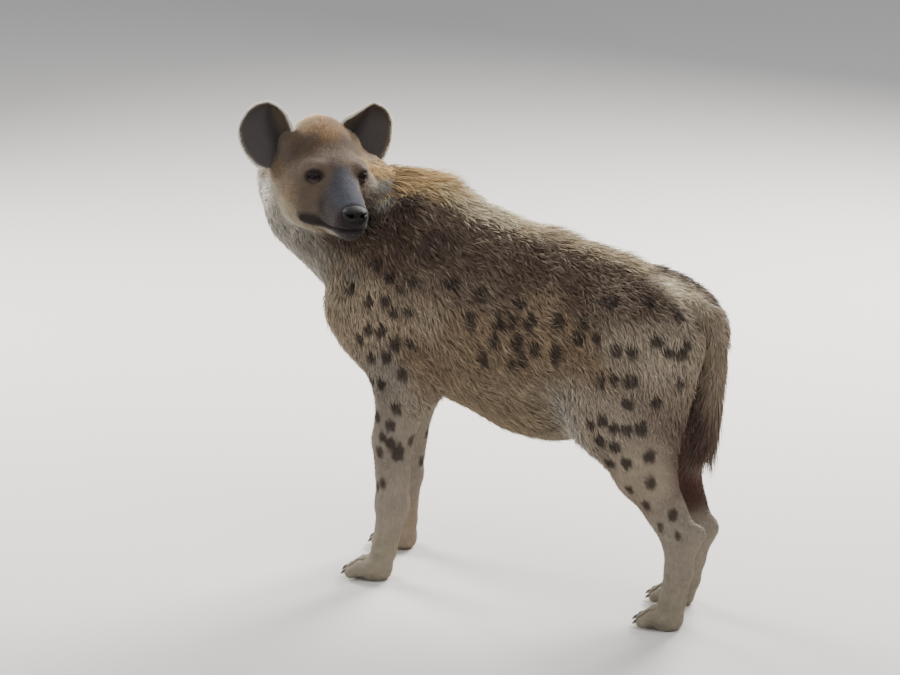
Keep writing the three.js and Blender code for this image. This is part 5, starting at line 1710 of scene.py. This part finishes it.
class HYENA_OT_ears(bpy.types.Operator):
    """Ears: thin cupped blades, charcoal inside, with short hair behind and a pale fringe at the rim"""

    bl_idname = "hyena.ears"
    bl_label = "Ears"

    def execute(self, context):
        colours = palette()
        rng = np.random.default_rng(77)
        rows, columns = EAR_ROWS, EAR_COLUMNS
        count = rows * columns
        sheet = grid_faces(rows, columns, False)
        edge = [r * columns for r in range(rows)]
        edge += [(rows - 1) * columns + c for c in range(1, columns)]
        edge += [r * columns + columns - 1 for r in range(rows - 2, -1, -1)]
        edge += list(range(columns - 2, 0, -1))
        a = np.array(edge)
        b = np.roll(a, -1)
        s = np.tile(np.linspace(0, 1, columns), rows)[:, None]
        up = np.repeat(np.linspace(-0.1, 1, rows), columns)[:, None]
        inside = mix(colours["face"] * 0.8, colours["ear_inside"] * 0.45, smooth_step(0.12, 0.4, s))
        inside = mix(inside, colours["ear_inside"], smooth_step(0.42, 0.7, s + 0.2 * up))
        inside = mix(inside, colours["ruff"], smooth_step(0.965, 0.995, np.maximum(s, 1 - s)))
        for side, word in ((1, "left"), (-1, "right")):
            front = ear_sheet(side, 0)
            back = ear_sheet(side, EAR_THICKNESS)
            facing = ear_out(side)
            points = np.vstack([front, back])
            turned = normals_of(front, sheet[:, :3])[count // 2] @ facing <= 0
            quads = sheet[:, ::-1] if turned else sheet
            wall = np.stack([a, a + count, b + count, b] if turned else [b, b + count, a + count, a], 1)
            faces = np.vstack([quads, quads[:, ::-1] + count, wall])
            shade = np.vstack([inside, np.tile(colours["ear_back"], (count, 1))])
            ear = mesh_object(f"ear_blade_{word}", points, faces, skin_material(), shade)
            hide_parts(f"ear_{word}")
            self.hair(side, word, front, back, inside, rng)
            self.fringe(side, word, (front + back) / 2, rng)
        return {"FINISHED"}

    def hair(self, side, word, front, back, inside, rng):
        """Short hair up the ear's back, and fine dark hair in its cup, longer on the strip by the crown."""
        colours = palette()
        facing = ear_out(side)
        triangles = halved(grid_faces(EAR_ROWS, EAR_COLUMNS, False))
        density = np.full(len(triangles), 0.4)
        for layer, sheet, sense in (("behind", back, -1), ("within", front, 1)):
            normals = normals_of(sheet, triangles)
            normals = normals * np.sign((normals @ facing).sum()) * sense
            roots, out, corner = spread_roots(sheet, triangles, normals, density, rng)
            s = (corner[:, 0] % EAR_COLUMNS) / (EAR_COLUMNS - 1)
            tip = sheet[-1]
            lie = unit(tip - roots) + unit(sheet.mean(0) - roots) * -0.5
            lie = flowing(unit(in_surface(lie, out)), out, roots, 0.8, 50)
            count = len(roots)
            vary = varied(rng, count, 0.25, 0.5, 1.6)
            if layer == "behind":
                shade = np.tile(colours["ear_back"], (count, 1))
                long, rise, width = 6 * vary, rng.uniform(0.5, 1.5, count), np.full(count, 1.1)
            else:
                shade = inside[corner[:, 0]] * 1.1
                long = mix(8, 3.5, smooth_step(0.1, 0.4, s)) * vary
                rise = mix(2.0, 0.6, smooth_step(0.1, 0.4, s)) * rng.uniform(0.5, 1.2, count)
                width = np.full(count, 0.8)
            sway = rng.normal(size=count) * 0.15
            grown(f"hair_{layer}_ear_{word}", roots, out, lie, long, rise, width, sway, shade,
                  SPIKE_PROFILE, rng, (0.85, 1.08))

    def fringe(self, side, word, sheet, rng):
        """Pale hair along both edges and over the tip, leaning outwards in the ear's plane."""
        facing = ear_out(side)
        grid = sheet.reshape(EAR_ROWS, EAR_COLUMNS, 3)[EAR_SUNK_ROWS:]
        line = np.vstack([grid[:, 0], grid[-2::-1, -1]])
        count = 3000
        t = np.sort(rng.random(count)) * (len(line) - 1.001)
        low = t.astype(int)
        roots = mix(line[low], line[low + 1], (t - low)[:, None])
        along = unit(line[low + 1] - line[low])
        away = unit(np.cross(facing, along))
        away *= np.sign((away * (roots - sheet.mean(0))).sum(1))[:, None]
        up = unit(sheet[-1] - roots)
        lie = unit(away + up * 0.5 + rng.normal(size=(count, 3)) * 0.22)
        out = unit(facing + away * 0.2)
        lie = unit(in_surface(lie, out))
        by_crown = smooth_step(26, 0, t)
        shade = np.tile(palette()["ruff"], (count, 1))
        long = rng.uniform(3, 6.5, count) * (1 + 0.7 * by_crown)
        grown(f"fringe_ear_{word}", roots, out, lie, long, rng.uniform(-0.6, 2.4, count), np.full(count, 1.0),
              rng.normal(size=count) * 0.2, shade, SHORT_PROFILE, rng, (0.85, 1.12))


# Down the middle of a claw: forward, up, and its half height there
CLAW_SPINE = [(-4, 3, 5.0), (2, 3, 5.2), (11, 3, 4.6), (17, -0.5, 3.2), (20.5, -4.5, 1.2)]
CLAW_CORNERS = 10


class HYENA_OT_claws(bpy.types.Operator):
    """Sixteen blunt claws: rings of ten corners along a drooping spine"""

    bl_idname = "hyena.claws"
    bl_label = "Claws"

    def execute(self, context):
        spine = through(CLAW_SPINE, 4)
        rows = len(spine)
        round_it = np.linspace(0, 2 * math.pi, CLAW_CORNERS, endpoint=False)
        k = np.arange(CLAW_CORNERS)
        beside = (k + 1) % CLAW_CORNERS
        last = (rows - 1) * CLAW_CORNERS
        root, tip_end = (np.full(CLAW_CORNERS, rows * CLAW_CORNERS + i) for i in range(2))
        triangles = np.vstack([
            halved(grid_faces(rows, CLAW_CORNERS)),
            np.stack([beside, k, root], 1),
            np.stack([last + k, last + beside, tip_end], 1),
        ])
        tone = np.append(np.repeat(np.linspace(0, 1, rows), CLAW_CORNERS), (0, 1))
        all_points, all_faces, all_shade, names = [], [], [], []
        for leg in LEGS:
            for number, place in enumerate(TOES):
                _, _, tip, forward = toe_of(leg, place)
                size = leg["size"]
                side = vec(-forward[1], forward[0], 0)
                centre = tip + (spine[:, :1] * forward + spine[:, 1:2] * vec(0, 0, 1)) * size
                ring = np.cos(round_it)[:, None] * side * 0.8 + np.sin(round_it)[:, None] * vec(0, 0, 1)
                points = centre[:, None] + ring[None] * spine[:, 2][:, None, None] * size
                ends = np.array([centre[0], centre[-1] + forward * 0.8])
                all_faces.append(triangles + sum(len(p) for p in all_points))
                all_points.append(np.vstack([points.reshape(-1, 3), ends]))
                all_shade.append(tone[:, None] * np.ones(3))
                names.append(f"claw_{leg['name']}_{number + 1}")
        points, faces, shade = (np.vstack(rows) for rows in (all_points, all_faces, all_shade))
        claws = mesh_object("claws", points, faces, claw_material(), shade)
        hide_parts(*names)
        return {"FINISHED"}


# Guide lengths, and the spacing and width of tufts there: fewer and wider where the long tufts begin
LONG_FROM = 14
TUFT_SPACING = ([3, 4, 7, 13.99, 14, 24, 36], [1.25, 1.4, 1.85, 2.6, 3.2, 3.6, 3.8])
TUFT_WIDTH = ([3, 7, 13.99, 14, 36], [0.8, 1.2, 1.7, 1.9, 2.7])
TUFT_KINDS = [("short", SPIKE_PROFILE, (0.84, 1.1)), ("long", SHORT_PROFILE, (0.7, 1.16))]


class HYENA_OT_coat(bpy.types.Operator):
    """The short coat over the whole skin, in tufts that follow the lie, smallest on face and feet"""

    bl_idname = "hyena.coat"
    bl_label = "Coat"

    def execute(self, context):
        rng = np.random.default_rng(5)
        points, triangles, normals = STATE["skin"]
        middle = points[triangles].mean(1)
        spacing = np.interp(STATE["coat"].at(middle)[:, 3], *TUFT_SPACING)
        density = 1 / spacing**2
        density *= 1
        density[middle[:, 2] < SOLE_HEIGHT] = 0
        density[self.bare(middle)] = 0
        roots, out, _ = spread_roots(points, triangles, normals, density, rng)
        values = STATE["coat"].at(roots)
        length, depth = values[:, 3], values[:, 4]
        shaggy = np.interp(length, [8, 28], [0, 1])
        lie = unit(in_surface(values[:, :3], out))
        lie = flowing(lie, out, roots, mix(0.3, 1.2, shaggy)[:, None], 20)
        count = len(roots)
        lie = unit(lie + rng.normal(size=lie.shape) * mix(0.1, 0.08, shaggy)[:, None])
        long = length * varied(rng, count, 0.22, 0.5, 1.6)
        clump = waves(roots, 22, 40)
        rise = depth * (0.7 + 0.22 * rng.normal(size=count) + 0.16 * clump).clip(0.2, 1.2)
        width = np.interp(length, *TUFT_WIDTH) * 1
        width = width * rng.uniform(0.75, 1.25, count)
        seen = roots + lie * (long * 0.6)[:, None] + out * (rise * 0.7)[:, None]
        colour = markings_and_painted_shade(seen, STATE["coat"].at(seen))
        odd = rng.random(count)[:, None]
        deep = shaggy[:, None]
        colour = colour * np.where(odd < 0.16, 1 - 0.3 * deep, 1)
        colour = mix(colour, palette()["cream"], (odd > 0.88) * 0.12 * deep)
        sway = mix(0.05, 0.12, shaggy) * rng.normal(size=count) + 0.1 * waves(roots, 30, 41)
        _, part = unrolled(roots)
        for number, (name, *_) in enumerate(chart_bones()):
            for kind, profile, tones in TUFT_KINDS:
                own = (part == number) & ((length < LONG_FROM) == (kind == "short"))
                if own.any():
                    grown(f"coat_{name}_{kind}", roots[own], out[own], lie[own], long[own], rise[own],
                          width[own], sway[own], colour[own], profile, rng, tones)
        return {"FINISHED"}

    def bare(self, places):
        """Where no hair grows: nose, lips and lids."""
        head = to_head(places)
        bare = np.linalg.norm((head - nose_pad_middle()) / vec(21, 25.5, 19), axis=1) < 1
        above, on_line = above_mouth(head)
        bare |= (np.abs(above) < 2.2) & (on_line > 0.5)
        for side in (1, -1):
            middle, _ = eye_at(side)
            across, up, out = eye_axes(side)
            off = head - middle
            opening = np.hypot(off @ across / ALMOND["half"], off @ up / 6.5)
            bare |= (opening < 1.5) & (off @ out > 3)
        return bare


# The crest from crown to loins: where it begins, its length, and its half width at places along it
CREST_START = 392
CREST_LENGTH = 702
CREST_SPREAD = ([-200, 0, 120, 240], [20, 28, 42, 48])


def crest_line(x):
    """The crest's own Y at each X: it follows the neck's turn to the left."""
    return np.interp(x, [240, 380], [0, 26])


class HYENA_OT_mane(bpy.types.Operator):
    """The mane: long hair along the crest from crown to loins, and the tail's brush"""

    bl_idname = "hyena.mane"
    bl_label = "Mane and tail brush"

    def execute(self, context):
        rng = np.random.default_rng(9)
        points, triangles, normals = STATE["skin"]
        middle = points[triangles].mean(1)
        aside = np.abs(middle[:, 1] - crest_line(middle[:, 0]))
        crest = (normals[triangles].mean(1)[:, 2] > 0.35) & (middle[:, 0] > -330) & (middle[:, 0] < 410)
        head = to_head(middle)
        crest &= (middle[:, 2] > 640) & ((np.abs(head) > vec(75, 60, 200)).any(1) | (head[:, 0] < -50))
        crest &= np.linalg.norm(head - vec(-10, 0, 20), axis=1) > 138
        spread = np.interp(middle[:, 0], *CREST_SPREAD)
        density = np.where(crest, np.exp(-((aside / spread) ** 2)), 0) / 8
        density *= 1
        roots, out, _ = spread_roots(points, triangles, normals, density, rng)
        count = len(roots)
        share = (CREST_START - roots[:, 0]) / CREST_LENGTH
        full = 1 - 0.42 * smooth_step(0.22, 0.42, share) - 0.15 * smooth_step(0.5, 1, share)
        full -= 0.15 * (1 - smooth_step(0, 0.15, share))
        full *= np.exp(-((np.abs(roots[:, 1] - crest_line(roots[:, 0])) / 60) ** 2))
        long = sizes()["mane_length"] * full * varied(rng, count, 0.14, 0.5, 1.25)
        lie = unit(in_surface(vec(-1, 0, -0.1) + roots * vec(0, 0.009, 0), out))
        lie = flowing(lie, out, roots, 0.8, 60)
        steep = 0.27 + 0.2 * smooth_step(180, 270, roots[:, 0])
        rise = long * (steep + 0.06 * rng.normal(size=count) + 0.05 * waves(roots, 30, 61)).clip(0.08, 0.58)
        colours = palette()
        blend = smooth_step(170, 20, roots[:, 0])[:, None]
        late = smooth_step(-20, -160, roots[:, 0])[:, None]
        shade = mix(colours["golden"], colours["cream"], blend)
        shade = mix(shade, mix(colours["cream"], colours["back"], 0.35), late)
        shade = mix(shade, colours["band"], (rng.random(count) < 0.2)[:, None] * 0.6)
        low = np.tile(mix(colours["dark"], colours["golden"], 0.5), (count, 1))
        width = rng.uniform(1.4, 2.6, count) * 1
        sway = 0.1 * rng.normal(size=count) + 0.08 * waves(roots, 40, 62)
        grown("mane", roots, out, lie, long, rise, width, sway, shade, LONG_PROFILE, rng, (0.7, 1.2), low)
        self.brush(rng)
        return {"FINISHED"}

    def brush(self, rng):
        """Long hair down the tail, dark from half way, tips drawn together."""
        colours = palette()
        path = through(TAIL_PATH, 20)
        count = 4200
        t = rng.random(count) ** 0.8 * 0.86 + 0.14
        steps = np.arange(len(path))
        at = np.stack([np.interp(t * steps[-1], steps, path[:, i]) for i in range(4)], 1)
        angle = rng.random(count) * 2 * math.pi
        out = np.stack([np.cos(angle), np.sin(angle), 0 * angle], 1)
        roots = at[:, :3] + out * (at[:, 3:] * 0.7)
        lean = np.interp(roots[:, 2], [400, 520], [0.32, 0.08])[:, None] * vec(1, 0, 0)
        lie = unit(lean + vec(0, 0, -1) - out * 0.05 + rng.normal(size=(count, 3)) * 0.05)
        lie = unit(in_surface(lie, out))
        low = smooth_step(530, 440, roots[:, 2])
        long = mix(40, sizes()["tail_hair"] * 0.95, low) * varied(rng, count, 0.14, 0.5, 1.35)
        rise = mix(9, 6, low) * rng.uniform(0.3, 1.2, count)
        dark = (low * 0.9 + 0.25 * rng.normal(size=count)).clip(0, 1)[:, None]
        shade = mix(colours["tail"], colours["brush"], dark)
        width = rng.uniform(1.6, 2.6, count) * 1
        sway = 0.08 * rng.normal(size=count)
        grown("tail_brush", roots, out, lie, long, rise, width, sway, shade, LONG_PROFILE, rng)


# Lights of the studio: name, place in metres, size, power and tint
LIGHTS = [
    ("key", VIEW_RIGHT * 1.2 - LOOK * 2.2 + vec(0, 0, 3.2), 2.6, 85, (1, 0.97, 0.93)),
    ("rim", VIEW_RIGHT * 1.8 + LOOK * 2.8 + vec(0, 0, 3.4), 1.8, 350, (1, 0.97, 0.92)),
    ("edge", VIEW_RIGHT * -2.4 + LOOK * 2.4 + vec(0, 0, 2.8), 1.6, 190, (1, 0.97, 0.93)),
    ("fill", VIEW_RIGHT * -2.6 - LOOK * 2.0 + vec(0, 0, 1.6), 3.0, 36, (0.93, 0.96, 1)),
]
LIGHT_AIM = vec(0, 0, 0.45)
SKY_TINT = (0.9, 0.93, 1, 1)
SKY_STRENGTH = 0.5


class HYENA_OT_stage(bpy.types.Operator):
    """A pale floor, soft studio light and the camera at the photograph's angle"""

    bl_idname = "hyena.stage"
    bl_label = "Stage"

    def execute(self, context):
        scene = context.scene
        side = 14
        mesh = bpy.data.meshes.new("floor")
        corners = [(-side, -side, 0), (side, -side, 0), (side, side, 0), (-side, side, 0)]
        mesh.from_pydata(corners, [], [(0, 1, 2, 3)])
        floor = bpy.data.objects.new("floor", mesh)
        s = Shader("floor")
        s.set(base_color=tuple(palette()["floor"]), roughness=0.9)
        mesh.materials.append(s.material)
        scene.collection.objects.link(floor)
        world = bpy.data.worlds.new("studio")
        world.use_nodes = True
        world.node_tree.nodes["Background"].inputs[0].default_value = SKY_TINT
        world.node_tree.nodes["Background"].inputs[1].default_value = SKY_STRENGTH
        scene.world = world
        for name, place, size, power, tint in LIGHTS:
            light = bpy.data.lights.new(name, "AREA")
            light.size = size
            light.energy = power
            light.color = tint
            made = bpy.data.objects.new(name, light)
            scene.collection.objects.link(made)
            made.location = place
            made.rotation_mode = "QUATERNION"
            made.rotation_quaternion = Vector(LIGHT_AIM - place).to_track_quat("-Z", "Y")
        camera = bpy.data.cameras.new("camera")
        camera.lens = VIEW_FOCUS * SENSOR_WIDTH / VIEW_WIDTH
        camera.clip_end = 100
        made = bpy.data.objects.new("camera", camera)
        scene.collection.objects.link(made)
        matrix = np.eye(4)
        matrix[:3, 0], matrix[:3, 1], matrix[:3, 2] = VIEW_RIGHT, VIEW_UP, -LOOK
        matrix[:3, 3] = eye_point() / 1000 + HOME
        made.matrix_world = Matrix(matrix.tolist())
        scene.camera = made
        return {"FINISHED"}


class HYENA_PT_panel(bpy.types.Panel):
    """The hyena's pieces, sizes and colours in the sidebar."""

    bl_label = "Spotted hyena"
    bl_idname = "HYENA_PT_panel"
    bl_space_type = "VIEW_3D"
    bl_region_type = "UI"
    bl_category = "Hyena"

    def draw(self, context):
        for operator in OPERATORS:
            self.layout.operator(operator.bl_idname)
        for group in (context.scene.hyena_sizes, context.scene.hyena_colours):
            for name in type(group).__annotations__:
                self.layout.prop(group, name)


OPERATORS = [
    HYENA_OT_stage, HYENA_OT_skin, HYENA_OT_eyes, HYENA_OT_nose, HYENA_OT_ears, HYENA_OT_claws, HYENA_OT_coat,
    HYENA_OT_mane,
]
CLASSES = [HyenaSizes, HyenaColours, *OPERATORS, HYENA_PT_panel]


def register():
    """Makes the classes known, and hangs sizes and colours on the scene."""
    for made in CLASSES:
        bpy.utils.register_class(made)
    bpy.types.Scene.hyena_sizes = bpy.props.PointerProperty(type=HyenaSizes)
    bpy.types.Scene.hyena_colours = bpy.props.PointerProperty(type=HyenaColours)


def unregister():
    """Takes them away again."""
    del bpy.types.Scene.hyena_colours
    del bpy.types.Scene.hyena_sizes
    for made in reversed(CLASSES):
        bpy.utils.unregister_class(made)


def main():
    """Makes every piece in order."""
    register()
    for operator in OPERATORS:
        group, name = operator.bl_idname.split(".")
        result = getattr(getattr(bpy.ops, group), name)()
        if result != {"FINISHED"}:
            raise RuntimeError(f"{operator.bl_idname} did not finish")


if __name__ == "__main__":
    main()
